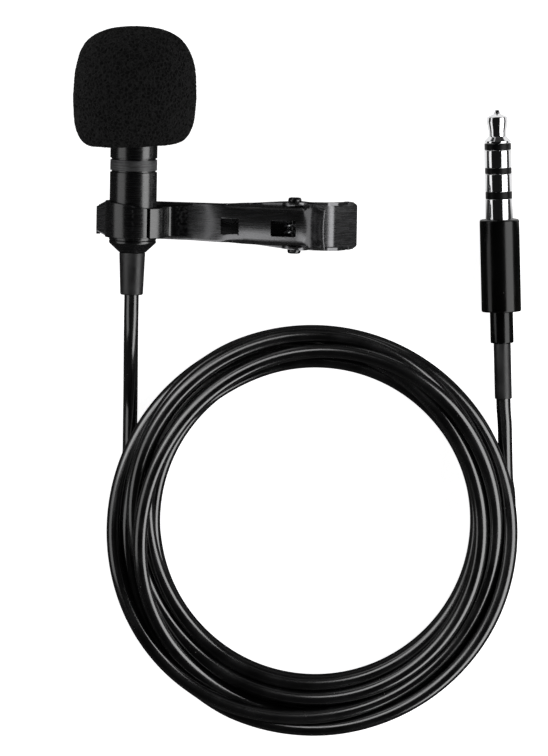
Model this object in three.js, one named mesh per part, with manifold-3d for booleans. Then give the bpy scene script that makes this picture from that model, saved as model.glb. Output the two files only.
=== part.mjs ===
// Lavalier microphone: a small electret microphone in a turned tube, with a foam windscreen, a
// sprung jaw clip on a collar, and a thin cord coiled beside it that ends in a four-pole plug.
//
// Millimetres, +Z up. The set lies on its windscreen, with the microphone pointing along +Y and
// the clip reaching towards +X. The origin is under the middle of the microphone and clip.

import * as THREE from 'three';
import { mergeVertices } from 'three/addons/utils/BufferGeometryUtils.js';
import Module from 'manifold-3d';

const wasm = await Module();
wasm.setup();

// ---- driving dimensions -------------------------------------------------------------------

const DEG = Math.PI / 180;
const ROUND = 24;                 // sides of a turned piece
const FINE_ROUND = 32;            // sides of the windscreen and the plug's housing
const INNER_ROUND = 16;           // sides of a turned piece that is hidden inside
const SMALL_ROUND = 12;           // sides of a pin or a small hole
const CLEAR = 0.06;               // running clearance between turned pieces

const FOAM_R = 7.8;
const FOAM_FRONT_Y = 17.15;
const FOAM_BACK_Y = 1.55;
const FOAM_WIDE_Y = 7.6;          // where the windscreen is widest
const FOAM_BORE_R = 3.1;
const FOAM_BORE_FRONT_Y = 12.2;

const MIC_X = -10.3;              // the microphone's axis lies along Y at this X and Z
const MIC_Z = FOAM_R;
const TUBE_R = 3.0;
const TUBE_BORE_R = 2.55;
const TUBE_FRONT_Y = 10.6;
const TUBE_BACK_Y = -10.15;
const CONE_BACK_Y = -11.7;
const RELIEF_BACK_Y = -17.15;
const RELIEF_R = 1.66;
const RELIEF_END_R = 1.45;

const CAPSULE_R = 2.2;
const CAPSULE_FRONT_Y = 9.0;
const CAPSULE_BACK_Y = 6.8;
const GASKET_FRONT_Y = 9.3;
const GASKET_BACK_Y = 6.6;
const BOARD_R = 1.95;
const BOARD_BACK_Y = 6.15;
const SCREEN_R = 2.45;            // the felt disc behind the grille
const SCREEN_FRONT_Y = 10.4;
const SCREEN_BACK_Y = 9.75;
const NECK_R = 1.3;               // bore of the tail, where the relief plugs in
const SPIGOT_FRONT_Y = TUBE_BACK_Y + 1.6;
const FERRULE_R = 1.6;
const FERRULE_FRONT_Y = TUBE_BACK_Y + 2.6;
const WIRE_R = 0.25;

const CLIP_Y = -8.25;             // the clip's middle plane
const SHEET = 0.5;                // thickness of the clip's steel
const WALL = 0.4;                 // thickness of its folded sides
const PIVOT_X = 10.3;
const PIVOT_Z = 4.8;
const PIN_R = 0.6;
const PIN_HEAD_R = 0.85;
const UPPER_HALF = 2.6;           // half widths of the two jaws at the pivot
const LOWER_HALF = 3.1;
const JAW_HALF = 2.45;            // half width of both jaws at the mouth

const BAND = 0.45;                // thickness of the collar's strip
const COLLAR_R = TUBE_R + 0.08 + BAND / 2;
const JAW_Z = MIC_Z - COLLAR_R - BAND / 2 - SHEET / 2 - 0.07;
const COLLAR_FRONT_Y = -5.1;
const COLLAR_NECK_Y = -5.95;
const COLLAR_BACK_Y = -9.8;

const SPRING_R = 1.15;
const SPRING_WIRE_R = 0.2;
const SPRING_PITCH = 0.9;
const SPRING_TURNS = 4;
const SPRING_LEG_ANGLE = 28;      // degrees that each leg rises from level
const SPRING_LEG = 2.1;

const CORD_R = 0.925;
const CORD_BED_Z = 0.95;          // height of the cord's centre where it lies on the surface
const MEET = 0.3;                 // gap where two lengths of cord meet face to face
const COIL_X = 13.23;
const COIL_Y = -47.4;
const COIL_OUTER_R = 25.4;        // centreline radius of the outermost loop
const COIL_PITCH = 2.3;           // from loop to loop and from layer to layer
const COIL_STEPS = 24;            // steps in a loop
const COIL_LAYER_STEPS = 68;      // steps in a full layer
const COIL_FIRST_STEPS = 48;      // steps in the lowest layer, which starts part of the way in
const COIL_LAYERS = 4;

const PLUG_X = 36.63;             // middle of the plug's shoulder
const PLUG_Y = -7.03;
const PLUG_LEAN = 2.05;           // degrees that the plug lies turned from +Y
const PLUG_R = 1.75;
const HOUSING_R = 2.54;
const PLUG_Z = HOUSING_R + 0.01;
const HOUSING_BACK = -11.84;
const RELIEF_STEP = -15.86;
const PLUG_END = -23.0;
const STEP_R = 1.48;
const REAR_R = 1.1;
const SHANK_R = 1.45;             // the sleeve's shank inside the housing
const SHANK_BACK = -7.0;
const SEAT_DEPTH = 0.5;           // depth that the plug's full diameter sits in the housing
const PLUG_BORE_R = 0.65;         // bore of the contacts, round the tip's core
const PLUG_CORD_R = 0.9;          // the cord's end inside the plug

// ---- finishes -----------------------------------------------------------------------------

function finish(color, roughness, metalness) {
  return new THREE.MeshStandardMaterial({ color, roughness, metalness });
}

const finishes = {
  foam: finish(0x141414, 0.95, 0),
  blackMetal: finish(0x2c2d2f, 0.38, 0.85),
  clipSteel: finish(0x3a3b3d, 0.42, 0.8),
  steel: finish(0xb8babd, 0.25, 1),
  nickel: finish(0xc9cbce, 0.15, 1),
  brass: finish(0xc2a35a, 0.3, 1),
  aluminium: finish(0xb9bbbe, 0.35, 1),
  rubber: finish(0x191919, 0.7, 0),
  jacket: finish(0x0f0f10, 0.35, 0),
  gloss: finish(0x0c0c0d, 0.2, 0),
  insulator: finish(0x101010, 0.4, 0),
  board: finish(0x2f6b3c, 0.5, 0),
  felt: finish(0x262626, 0.95, 0),
  redWire: finish(0xa02c26, 0.5, 0),
  bareWire: finish(0xb87445, 0.35, 1),
};

const microphone = new THREE.Group();

function place(parent, name, geometry, material) {
  const mesh = new THREE.Mesh(geometry, material);
  mesh.name = name;
  parent.add(mesh);
  return mesh;
}

// ---- solids -------------------------------------------------------------------------------

// A closed mesh as a solid that can be joined and cut.
function solid(geometry) {
  const bare = geometry.clone();
  bare.deleteAttribute('normal');
  bare.deleteAttribute('uv');
  const merged = mergeVertices(bare, 1e-5);
  const index = merged.index.array;
  const kept = [];
  for (let i = 0; i < index.length; i += 3) {
    const [a, b, c] = [index[i], index[i + 1], index[i + 2]];
    if (a !== b && b !== c && c !== a) {
      kept.push(a, b, c);
    }
  }
  const mesh = new wasm.Mesh({
    numProp: 3,
    vertProperties: new Float32Array(merged.attributes.position.array),
    triVerts: new Uint32Array(kept),
  });
  return new wasm.Manifold(mesh);
}

function geometryOf(body) {
  const mesh = body.getMesh();
  const geometry = new THREE.BufferGeometry();
  const places = new Float32Array(mesh.vertProperties);
  geometry.setAttribute('position', new THREE.BufferAttribute(places, 3));
  geometry.setIndex(new THREE.BufferAttribute(new Uint32Array(mesh.triVerts), 1));
  geometry.computeVertexNormals();
  return geometry;
}

// A turned piece on the Y axis, from [radius, y] pairs that start and end on the axis.
function turned(profile, sides = ROUND) {
  return new THREE.LatheGeometry(profile.map(([r, y]) => new THREE.Vector2(r, y)), sides);
}

// A turned ring, whose outline closes on itself away from the axis.
function turnedRing(profile, sides = ROUND) {
  return turned([...profile, profile[0]], sides);
}

function sleeve(inner, outer, back, front, sides = ROUND) {
  return turnedRing([[inner, back], [outer, back], [outer, front], [inner, front]], sides);
}

function rod(radius, back, front, sides = ROUND) {
  return turned([[0, back], [radius, back], [radius, front], [0, front]], sides);
}

// An outline in X and Z, pushed out along Y between two Y values.
function across(shape, fromY, toY) {
  const depth = toY - fromY;
  const geometry = new THREE.ExtrudeGeometry(shape, { depth, bevelEnabled: false, curveSegments: 6 });
  geometry.rotateX(Math.PI / 2);
  geometry.translate(0, toY, 0);
  return geometry;
}

// An outline in X and Y, pushed up along Z between two heights.
function upward(shape, fromZ, toZ) {
  const depth = toZ - fromZ;
  const geometry = new THREE.ExtrudeGeometry(shape, { depth, bevelEnabled: false, curveSegments: 4 });
  geometry.translate(0, 0, fromZ);
  return geometry;
}

function outline(points) {
  return new THREE.Shape(points.map(([x, y]) => new THREE.Vector2(x, y)));
}

// The edge of a bent sheet: a path's line, given thickness on both sides.
function bentSheet(path, thickness, divisions = 6) {
  const line = path.getPoints(divisions).filter((point, i, all) => {
    return i === 0 || point.distanceTo(all[i - 1]) > 1e-4;
  });
  const left = [];
  const right = [];
  line.forEach((point, i) => {
    const before = line[Math.max(i - 1, 0)];
    const after = line[Math.min(i + 1, line.length - 1)];
    const back = point.clone().sub(before).normalize();
    const ahead = after.clone().sub(point).normalize();
    const along = back.add(ahead).normalize();
    const normal = new THREE.Vector2(-along.y, along.x);
    const other = i === 0 ? after.clone().sub(point) : point.clone().sub(before);
    const cosine = Math.abs(other.normalize().dot(along));
    const reach = thickness / 2 / Math.max(cosine, 0.5);
    left.push(point.clone().addScaledVector(normal, reach));
    right.unshift(point.clone().addScaledVector(normal, -reach));
  });
  return new THREE.Shape([...left, ...right]);
}

// A closed tube along a list of points. `up` is a direction that the tube never runs along.
function tubeAlong(points, radius, sides, up) {
  const places = [];
  const index = [];
  const last = points.length - 1;
  points.forEach((point, i) => {
    const ahead = points[Math.min(i + 1, last)].clone().sub(points[Math.max(i - 1, 0)]).normalize();
    const side = new THREE.Vector3().crossVectors(ahead, up).normalize();
    const top = new THREE.Vector3().crossVectors(ahead, side).normalize();
    for (let k = 0; k < sides; k += 1) {
      const angle = (2 * Math.PI * k) / sides - Math.PI / 2;
      const spot = point.clone();
      spot.addScaledVector(side, radius * Math.cos(angle));
      spot.addScaledVector(top, radius * Math.sin(angle));
      places.push(spot.x, spot.y, spot.z);
    }
  });
  for (let i = 0; i < last; i += 1) {
    for (let k = 0; k < sides; k += 1) {
      const a = i * sides + k;
      const b = i * sides + ((k + 1) % sides);
      index.push(a, b, a + sides, b, b + sides, a + sides);
    }
  }
  for (let k = 1; k < sides - 1; k += 1) {
    index.push(0, k + 1, k);
    index.push(last * sides, last * sides + k, last * sides + k + 1);
  }
  const geometry = new THREE.BufferGeometry();
  geometry.setAttribute('position', new THREE.Float32BufferAttribute(places, 3));
  geometry.setIndex(index);
  geometry.computeVertexNormals();
  return geometry;
}

// A plain tube for a free length of cord or a wire.
function plainTube(points, radius, sides, steps) {
  const circle = new THREE.Shape();
  circle.absarc(0, 0, radius, 0, 2 * Math.PI, false);
  const section = new THREE.Shape(circle.getPoints(sides / 2).slice(0, sides));
  const extrudePath = new THREE.CatmullRomCurve3(points, false, 'centripetal');
  return new THREE.ExtrudeGeometry(section, { steps, bevelEnabled: false, extrudePath });
}

function points3(list) {
  return list.map(([x, y, z]) => new THREE.Vector3(x, y, z));
}

function pathLength(points) {
  return points.slice(1).reduce((sum, point, i) => sum + point.distanceTo(points[i]), 0);
}

// The least gap between the surfaces of two stretches of one tube that are not next to each other.
function leastGap(points, radius, apart) {
  let least = Infinity;
  for (let i = 0; i < points.length; i += 1) {
    for (let j = i + apart; j < points.length; j += 1) {
      least = Math.min(least, points[i].distanceTo(points[j]));
    }
  }
  return least - 2 * radius;
}

function resampled(points, perStep) {
  const fine = [];
  for (let i = 0; i < points.length - 1; i += 1) {
    for (let k = 0; k < perStep; k += 1) {
      fine.push(points[i].clone().lerp(points[i + 1], k / perStep));
    }
  }
  fine.push(points[points.length - 1]);
  return fine;
}

// ---- windscreen ---------------------------------------------------------------------------

function windscreen() {
  const profile = new THREE.Path();
  profile.moveTo(FOAM_BORE_R, FOAM_BACK_Y);
  profile.lineTo(5.3, FOAM_BACK_Y);
  profile.bezierCurveTo(6.9, FOAM_BACK_Y, FOAM_R, 3.2, FOAM_R, FOAM_WIDE_Y);
  profile.bezierCurveTo(FOAM_R, 13.6, 5.6, FOAM_FRONT_Y, 0, FOAM_FRONT_Y);
  profile.lineTo(0, FOAM_BORE_FRONT_Y);
  profile.lineTo(FOAM_BORE_R - 0.7, FOAM_BORE_FRONT_Y);
  profile.lineTo(FOAM_BORE_R, FOAM_BORE_FRONT_Y - 0.7);
  profile.lineTo(FOAM_BORE_R, FOAM_BACK_Y);
  const spots = profile.getPoints(7);
  const onAxis = spots.findIndex((spot) => spot.x < 1e-9);
  const outside = spots.slice(0, onAxis + 1);
  const inside = spots.slice(onAxis + 1);
  const closed = [...inside, ...outside.slice(1)];
  return new THREE.LatheGeometry(closed, FINE_ROUND);
}

// ---- microphone body ----------------------------------------------------------------------

function micTube() {
  const groove = 0.1;
  const bandFront = 0.1;
  const bandBack = -1.25;
  return turnedRing([
    [TUBE_BORE_R, TUBE_BACK_Y],
    [TUBE_R, TUBE_BACK_Y],
    [TUBE_R, bandBack - 2 * groove],
    [TUBE_R - groove, bandBack - groove],
    [TUBE_R, bandBack],
    [TUBE_R, bandFront],
    [TUBE_R - groove, bandFront + groove],
    [TUBE_R, bandFront + 2 * groove],
    [TUBE_R, TUBE_FRONT_Y - 0.2],
    [TUBE_R - 0.2, TUBE_FRONT_Y],
    [TUBE_BORE_R, TUBE_FRONT_Y],
  ]);
}

function frontGrille() {
  const back = TUBE_FRONT_Y + CLEAR;
  const cap = solid(turned([
    [0, back],
    [TUBE_R, back],
    [TUBE_R, back + 0.6],
    [TUBE_R - 0.5, back + 1.1],
    [0, back + 1.25],
  ]));
  const holeR = 0.36;
  const holes = [[0, 0]];
  for (let k = 0; k < 6; k += 1) {
    holes.push([1.35 * Math.cos(k * 60 * DEG), 1.35 * Math.sin(k * 60 * DEG)]);
  }
  return geometryOf(holes.reduce((rest, [x, z]) => {
    const drill = rod(holeR, back - 1, back + 3, 8);
    drill.translate(x, 0, z);
    return rest.subtract(solid(drill));
  }, cap));
}

function capsuleCan() {
  const port = 0.5;
  const rim = CAPSULE_FRONT_Y;
  return turned([
    [0, CAPSULE_BACK_Y],
    [CAPSULE_R, CAPSULE_BACK_Y],
    [CAPSULE_R, rim - 0.15],
    [CAPSULE_R - 0.15, rim],
    [port, rim],
    [port, rim - 0.5],
    [0, rim - 0.5],
  ], INNER_ROUND);
}

function innerWire(sideX, radius, backY) {
  const bow = 0.35;
  return plainTube(points3([
    [sideX, 6.0, 0.2],
    [sideX, 4.6, 0.2],
    [sideX * 1.2, 0.5, bow],
    [sideX, -3.2, bow],
    [sideX * 0.55, backY + 0.6, 0],
    [sideX * 0.55, backY, 0],
  ]), radius, 6, 8);
}

function tailCone() {
  return turnedRing([
    [NECK_R, CONE_BACK_Y],
    [RELIEF_R + CLEAR, CONE_BACK_Y],
    [TUBE_R, TUBE_BACK_Y - 0.35],
    [TUBE_R, TUBE_BACK_Y - CLEAR],
    [TUBE_BORE_R - CLEAR, TUBE_BACK_Y - CLEAR],
    [TUBE_BORE_R - CLEAR, SPIGOT_FRONT_Y],
    [NECK_R, SPIGOT_FRONT_Y],
  ]);
}

function micStrainRelief() {
  const neckFront = TUBE_BACK_Y + 1.4;
  return turnedRing([
    [CORD_R + CLEAR, RELIEF_BACK_Y],
    [RELIEF_END_R, RELIEF_BACK_Y],
    [RELIEF_R, CONE_BACK_Y - CLEAR],
    [NECK_R - CLEAR, CONE_BACK_Y - CLEAR],
    [NECK_R - CLEAR, neckFront],
    [CORD_R + CLEAR, neckFront],
  ]);
}

function buildMicrophone() {
  const axis = new THREE.Group();
  axis.position.set(MIC_X, 0, MIC_Z);
  microphone.add(axis);

  place(axis, 'foam_windscreen', windscreen(), finishes.foam);
  place(axis, 'mic_tube', micTube(), finishes.blackMetal);
  place(axis, 'front_grille', frontGrille(), finishes.steel);
  const screen = rod(SCREEN_R, SCREEN_BACK_Y, SCREEN_FRONT_Y, INNER_ROUND);
  place(axis, 'dust_screen', screen, finishes.felt);
  place(axis, 'capsule_can', capsuleCan(), finishes.aluminium);
  const seatR = CAPSULE_R + CLEAR;
  const seat = sleeve(seatR, TUBE_BORE_R - CLEAR, GASKET_BACK_Y, GASKET_FRONT_Y, INNER_ROUND);
  place(axis, 'capsule_gasket', seat, finishes.rubber);
  const board = rod(BOARD_R, BOARD_BACK_Y, CAPSULE_BACK_Y - CLEAR, INNER_ROUND);
  place(axis, 'capsule_board', board, finishes.board);

  const wiresBack = FERRULE_FRONT_Y + MEET;
  place(axis, 'signal_wire', innerWire(0.9, WIRE_R, wiresBack), finishes.redWire);
  place(axis, 'ground_wire', innerWire(-0.9, WIRE_R, wiresBack), finishes.bareWire);
  const coreEnd = rod(CORD_R, RELIEF_BACK_Y + MEET, FERRULE_FRONT_Y, INNER_ROUND);
  place(axis, 'cord_core_end', coreEnd, finishes.jacket);
  const ferruleBack = SPIGOT_FRONT_Y + CLEAR;
  const ferrule = sleeve(CORD_R + CLEAR, FERRULE_R, ferruleBack, FERRULE_FRONT_Y, INNER_ROUND);
  place(axis, 'cord_ferrule', ferrule, finishes.brass);
  place(axis, 'tail_cone', tailCone(), finishes.blackMetal);
  place(axis, 'mic_strain_relief', micStrainRelief(), finishes.rubber);
}

// ---- clip ---------------------------------------------------------------------------------

// A jaw's plan in X and distance from the clip's middle plane, given one side of it.
function jawPlan(side) {
  const mirrored = side.map(([x, y]) => [x, -y]).reverse();
  return outline([...side, ...mirrored].map(([x, y]) => [x, CLIP_Y + y]));
}

// A folded side: one outline in X and Z, on both sides of the clip.
function foldedSides(shape, outerHalf, thickness) {
  const near = across(shape, CLIP_Y - outerHalf, CLIP_Y - outerHalf + thickness);
  const far = across(shape, CLIP_Y + outerHalf - thickness, CLIP_Y + outerHalf);
  return solid(near).add(solid(far));
}

function box(x0, x1, y0, y1, z0, z1) {
  const geometry = new THREE.BoxGeometry(x1 - x0, y1 - y0, z1 - z0);
  geometry.translate((x0 + x1) / 2, (y0 + y1) / 2, (z0 + z1) / 2);
  return solid(geometry);
}

function pivotBore(radius) {
  const bore = rod(radius, CLIP_Y - 8, CLIP_Y + 8, SMALL_ROUND);
  bore.translate(PIVOT_X, 0, PIVOT_Z);
  return solid(bore);
}

function upperJaw() {
  const line = new THREE.Path();
  line.moveTo(-15.0, JAW_Z);
  line.lineTo(-3.3, JAW_Z);
  line.bezierCurveTo(-1.9, JAW_Z, -1.7, 5.55, 0.2, 5.85);
  line.lineTo(11.3, 7.2);
  line.quadraticCurveTo(12.5, 7.4, 12.95, 8.5);
  line.lineTo(14.0, 11.2);
  const sheet = solid(across(bentSheet(line, SHEET), CLIP_Y - 4, CLIP_Y + 4));

  const plan = jawPlan([
    [-15.1, -1.5],
    [-13.4, -JAW_HALF],
    [-3.0, -JAW_HALF],
    [0.0, -UPPER_HALF],
    [13.3, -UPPER_HALF],
    [14.0, -UPPER_HALF + 0.45],
    [14.4, -UPPER_HALF + 1.3],
  ]);
  const plate = sheet.intersect(solid(upward(plan, 0, 14)));

  const ear = new THREE.Shape();
  ear.moveTo(0.3, 5.85);
  ear.lineTo(1.2, 5.1);
  ear.lineTo(3.5, 4.85);
  ear.lineTo(8.9, 3.95);
  ear.absarc(PIVOT_X, PIVOT_Z, 1.3, 220 * DEG, 340 * DEG, false);
  ear.lineTo(12.0, 7.25);
  const ears = foldedSides(ear, UPPER_HALF, WALL);

  const holeY = CLIP_Y - 0.3;
  const square = box(0.8, 3.1, holeY - 1.0, holeY + 1.05, 4, 9);
  const window = box(7.3, 10.5, holeY - 0.9, holeY + 0.9, 6, 9);
  const body = plate.add(ears);
  return geometryOf(body.subtract(square).subtract(window).subtract(pivotBore(PIN_R + 0.08)));
}

function lowerJaw() {
  const line = new THREE.Path();
  line.moveTo(-14.7, 2.9);
  line.lineTo(-13.4, 2.75);
  line.quadraticCurveTo(-12.4, 2.4, -11.0, 2.4);
  line.lineTo(14.6, 2.4);
  line.quadraticCurveTo(15.7, 2.4, 16.3, 1.75);
  line.lineTo(17.9, 0.2);
  const sheet = solid(across(bentSheet(line, SHEET), CLIP_Y - 4, CLIP_Y + 4));

  const plan = jawPlan([
    [-15.1, -1.5],
    [-13.4, -JAW_HALF],
    [2.0, -JAW_HALF],
    [4.0, -LOWER_HALF],
    [16.7, -LOWER_HALF],
    [17.7, -LOWER_HALF + 0.4],
    [18.1, -LOWER_HALF + 1.3],
  ]);
  const plate = sheet.intersect(solid(upward(plan, 0, 6)));

  const rear = new THREE.Shape();
  rear.moveTo(4.0, 2.3);
  rear.lineTo(15.0, 2.3);
  rear.lineTo(16.4, 1.5);
  rear.lineTo(17.2, 0.9);
  rear.lineTo(17.2, 1.6);
  rear.lineTo(15.6, 3.4);
  rear.lineTo(12.6, 4.4);
  rear.absarc(PIVOT_X, PIVOT_Z, 1.75, 10 * DEG, 150 * DEG, false);
  rear.lineTo(6.2, 4.3);
  rear.lineTo(4.0, 3.6);
  const rearSides = foldedSides(rear, LOWER_HALF, WALL);

  const front = new THREE.Shape();
  front.moveTo(-12.2, 2.3);
  front.lineTo(1.8, 2.3);
  front.lineTo(1.8, 3.6);
  front.lineTo(-12.2, 3.3);
  const frontSides = foldedSides(front, JAW_HALF, WALL);

  const teeth = [];
  const pitch = 0.6;
  for (let k = 0; k < 5; k += 1) {
    const y = CLIP_Y + (k - 2) * pitch;
    teeth.push([y - pitch / 2, 3.3], [y, 3.72]);
  }
  const comb = outline([[CLIP_Y - 1.5, 2.8], ...teeth, [CLIP_Y + 1.5, 3.3], [CLIP_Y + 1.5, 2.8]]);
  const lip = new THREE.ExtrudeGeometry(comb, { depth: SHEET, bevelEnabled: false });
  lip.rotateY(Math.PI / 2);
  lip.rotateX(Math.PI / 2);
  lip.translate(-15.0, 0, 0);
  const body = plate.add(rearSides).add(frontSides).add(solid(lip));
  return geometryOf(body.subtract(pivotBore(PIN_R + 0.08)));
}

function pivotPin() {
  const face = LOWER_HALF + CLEAR;
  const end = face + 0.5;
  const pin = turned([
    [0, -end],
    [PIN_HEAD_R - 0.2, -end],
    [PIN_HEAD_R, -end + 0.2],
    [PIN_HEAD_R, -face],
    [PIN_R, -face],
    [PIN_R, face],
    [PIN_HEAD_R, face],
    [PIN_HEAD_R, end - 0.2],
    [PIN_HEAD_R - 0.2, end],
    [0, end],
  ], SMALL_ROUND);
  pin.translate(PIVOT_X, CLIP_Y, PIVOT_Z);
  return pin;
}

// The curls round the pin, and the directions of the straight legs that leave them.
function springCurls() {
  const legStart = (90 + SPRING_LEG_ANGLE) * DEG;
  const curlSteps = 8;
  const shortOfFull = (90 - SPRING_LEG_ANGLE) / 180;
  const turns = SPRING_TURNS - shortOfFull;
  const count = Math.round(turns * curlSteps);
  const span = turns * SPRING_PITCH;
  const spots = [];
  for (let i = 0; i <= count; i += 1) {
    const part = i / count;
    const angle = legStart - part * turns * 2 * Math.PI;
    spots.push(new THREE.Vector3(
      PIVOT_X + SPRING_R * Math.cos(angle),
      CLIP_Y - span / 2 + part * span,
      PIVOT_Z + SPRING_R * Math.sin(angle),
    ));
  }
  const rise = new THREE.Vector3(Math.cos(SPRING_LEG_ANGLE * DEG), 0, Math.sin(SPRING_LEG_ANGLE * DEG));
  const fall = new THREE.Vector3(rise.x, 0, -rise.z);
  return { spots, rise, fall };
}

// One wire: a straight leg, the curls, and a second straight leg.
function torsionSpring() {
  const { spots, rise, fall } = springCurls();
  const first = spots[0].clone().addScaledVector(rise, SPRING_LEG);
  const last = spots[spots.length - 1].clone().addScaledVector(fall, SPRING_LEG);
  const wire = [first, ...spots, last];
  const gap = leastGap(resampled(spots, 4), SPRING_WIRE_R, 16);
  console.log(`torsion_spring: least gap to itself ${gap.toFixed(3)} mm`);
  return tubeAlong(wire, SPRING_WIRE_R, 5, new THREE.Vector3(0, 1, 0));
}

// The collar: a strip that comes along the upper jaw, goes under and round the tube to a seam, and
// a second strip from the seam down the other side, with its foot on the first.
function collarRing() {
  const layZ = MIC_Z - COLLAR_R;
  const seam = 59 * DEG;
  const seamGap = 3 * DEG;
  const wrap = new THREE.Path();
  wrap.moveTo(-3.4, layZ);
  wrap.lineTo(MIC_X, layZ);
  wrap.absarc(MIC_X, MIC_Z, COLLAR_R, 270 * DEG, seam, true);
  const footZ = layZ + BAND - 0.03;
  const foot = new THREE.Path();
  foot.absarc(MIC_X, MIC_Z, COLLAR_R, seam - seamGap, 0, true);
  foot.bezierCurveTo(MIC_X + COLLAR_R, MIC_Z - 1.6, -7.2, footZ, -6.2, footZ);
  foot.lineTo(-5.2, footZ);
  const strips = [wrap, foot].map((path) => {
    return solid(across(bentSheet(path, BAND, 16), COLLAR_BACK_Y - 1, COLLAR_FRONT_Y + 1));
  });
  const plan = outline([
    [-15, COLLAR_BACK_Y],
    [-3, COLLAR_BACK_Y],
    [-3, COLLAR_NECK_Y],
    [-8.2, COLLAR_NECK_Y],
    [-13.9, COLLAR_FRONT_Y],
    [-15, COLLAR_FRONT_Y],
  ]);
  return geometryOf(strips[0].add(strips[1]).intersect(solid(upward(plan, 3, 13))));
}

function buildClip() {
  place(microphone, 'collar_ring', collarRing(), finishes.blackMetal);
  place(microphone, 'upper_jaw', upperJaw(), finishes.clipSteel);
  place(microphone, 'lower_jaw', lowerJaw(), finishes.clipSteel);
  place(microphone, 'pivot_pin', pivotPin(), finishes.steel);
  place(microphone, 'torsion_spring', torsionSpring(), finishes.steel);
}

// ---- plug ---------------------------------------------------------------------------------

// Stations along the plug from its shoulder at 0 to its tip at 14.
const SLEEVE_END = 2.62;
const RING_2 = [3.53, 5.82];
const RING_1 = [6.59, 8.88];
const TIP_START = 9.72;
const PLUG_TIP = 14.0;
const CORE_R = 0.5;
const PLUG_CORE_BACK = -9.0;
const INSULATOR_R = PLUG_R - 0.04;
const MOULD_R = 2.0;
const MOULD_FRONT = -2.6;
const MOULD_BACK = -7.4;
const RELIEF_NECK_R = STEP_R - 0.4;

function plugTip() {
  return turned([
    [0, PLUG_CORE_BACK],
    [CORE_R, PLUG_CORE_BACK],
    [CORE_R, TIP_START + CLEAR],
    [1.7, TIP_START + CLEAR],
    [1.7, TIP_START + 0.3],
    [1.15, 10.6],
    [1.15, 11.2],
    [1.38, 12.5],
    [1.3, 13.1],
    [0.72, 13.35],
    [0.42, 13.5],
    [0.3, PLUG_TIP],
    [0, PLUG_TIP],
  ]);
}

function plugSleeve() {
  return turnedRing([
    [PLUG_BORE_R, SHANK_BACK],
    [SHANK_R, SHANK_BACK],
    [SHANK_R, -SEAT_DEPTH],
    [PLUG_R, -SEAT_DEPTH],
    [PLUG_R, SLEEVE_END],
    [PLUG_BORE_R, SLEEVE_END],
  ]);
}

function plugHousing() {
  const bore = SHANK_R + CLEAR;
  const seat = PLUG_R + CLEAR;
  const chamber = 2.1;
  const wall = 1.2;
  return turnedRing([
    [RELIEF_NECK_R, HOUSING_BACK],
    [HOUSING_R - 0.1, HOUSING_BACK],
    [HOUSING_R, HOUSING_BACK + 0.15],
    [HOUSING_R, -0.25],
    [HOUSING_R - 0.25, 0],
    [seat, 0],
    [seat, -SEAT_DEPTH - CLEAR],
    [bore, -SEAT_DEPTH - CLEAR],
    [bore, -2.0],
    [chamber, -2.2],
    [chamber, HOUSING_BACK + wall],
    [RELIEF_NECK_R, HOUSING_BACK + wall],
  ], FINE_ROUND);
}

// The relief's front half, with a neck that plugs into the housing.
function plugReliefFront() {
  const bore = PLUG_CORD_R + CLEAR;
  const neck = RELIEF_NECK_R - CLEAR;
  const neckFront = HOUSING_BACK + 2.0;
  return turnedRing([
    [bore, RELIEF_STEP],
    [STEP_R - 0.08, RELIEF_STEP],
    [STEP_R, RELIEF_STEP + 0.15],
    [STEP_R, HOUSING_BACK - CLEAR],
    [neck, HOUSING_BACK - CLEAR],
    [neck, neckFront],
    [bore, neckFront],
  ]);
}

function buildPlug() {
  const plug = new THREE.Group();
  plug.position.set(PLUG_X, PLUG_Y, PLUG_Z);
  plug.rotation.z = PLUG_LEAN * DEG;
  microphone.add(plug);

  const gap = CLEAR / 2;
  place(plug, 'plug_tip', plugTip(), finishes.nickel);
  const bands = [
    ['plug_ring_1', RING_1[0], RING_1[1], PLUG_R, finishes.nickel],
    ['plug_ring_2', RING_2[0], RING_2[1], PLUG_R, finishes.nickel],
    ['plug_insulator_1', RING_1[1], TIP_START, INSULATOR_R, finishes.insulator],
    ['plug_insulator_2', RING_2[1], RING_1[0], INSULATOR_R, finishes.insulator],
    ['plug_insulator_3', SLEEVE_END, RING_2[0], INSULATOR_R, finishes.insulator],
  ];
  bands.forEach(([name, back, front, radius, material]) => {
    place(plug, name, sleeve(PLUG_BORE_R, radius, back + gap, front - gap), material);
  });
  place(plug, 'plug_sleeve', plugSleeve(), finishes.nickel);
  place(plug, 'plug_housing', plugHousing(), finishes.gloss);

  const mould = sleeve(SHANK_R + CLEAR, MOULD_R, MOULD_BACK, MOULD_FRONT);
  place(plug, 'plug_inner_mould', mould, finishes.insulator);
  const coreEnd = rod(PLUG_CORD_R, PLUG_END + MEET, PLUG_CORE_BACK - MEET, INNER_ROUND);
  place(plug, 'plug_core_end', coreEnd, finishes.jacket);
  place(plug, 'plug_relief_front', plugReliefFront(), finishes.gloss);
  const rear = sleeve(PLUG_CORD_R + CLEAR, REAR_R, PLUG_END, RELIEF_STEP - CLEAR);
  place(plug, 'plug_relief_rear', rear, finishes.rubber);
  plug.updateMatrixWorld(true);
  return plug;
}

// ---- cord ---------------------------------------------------------------------------------

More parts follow.
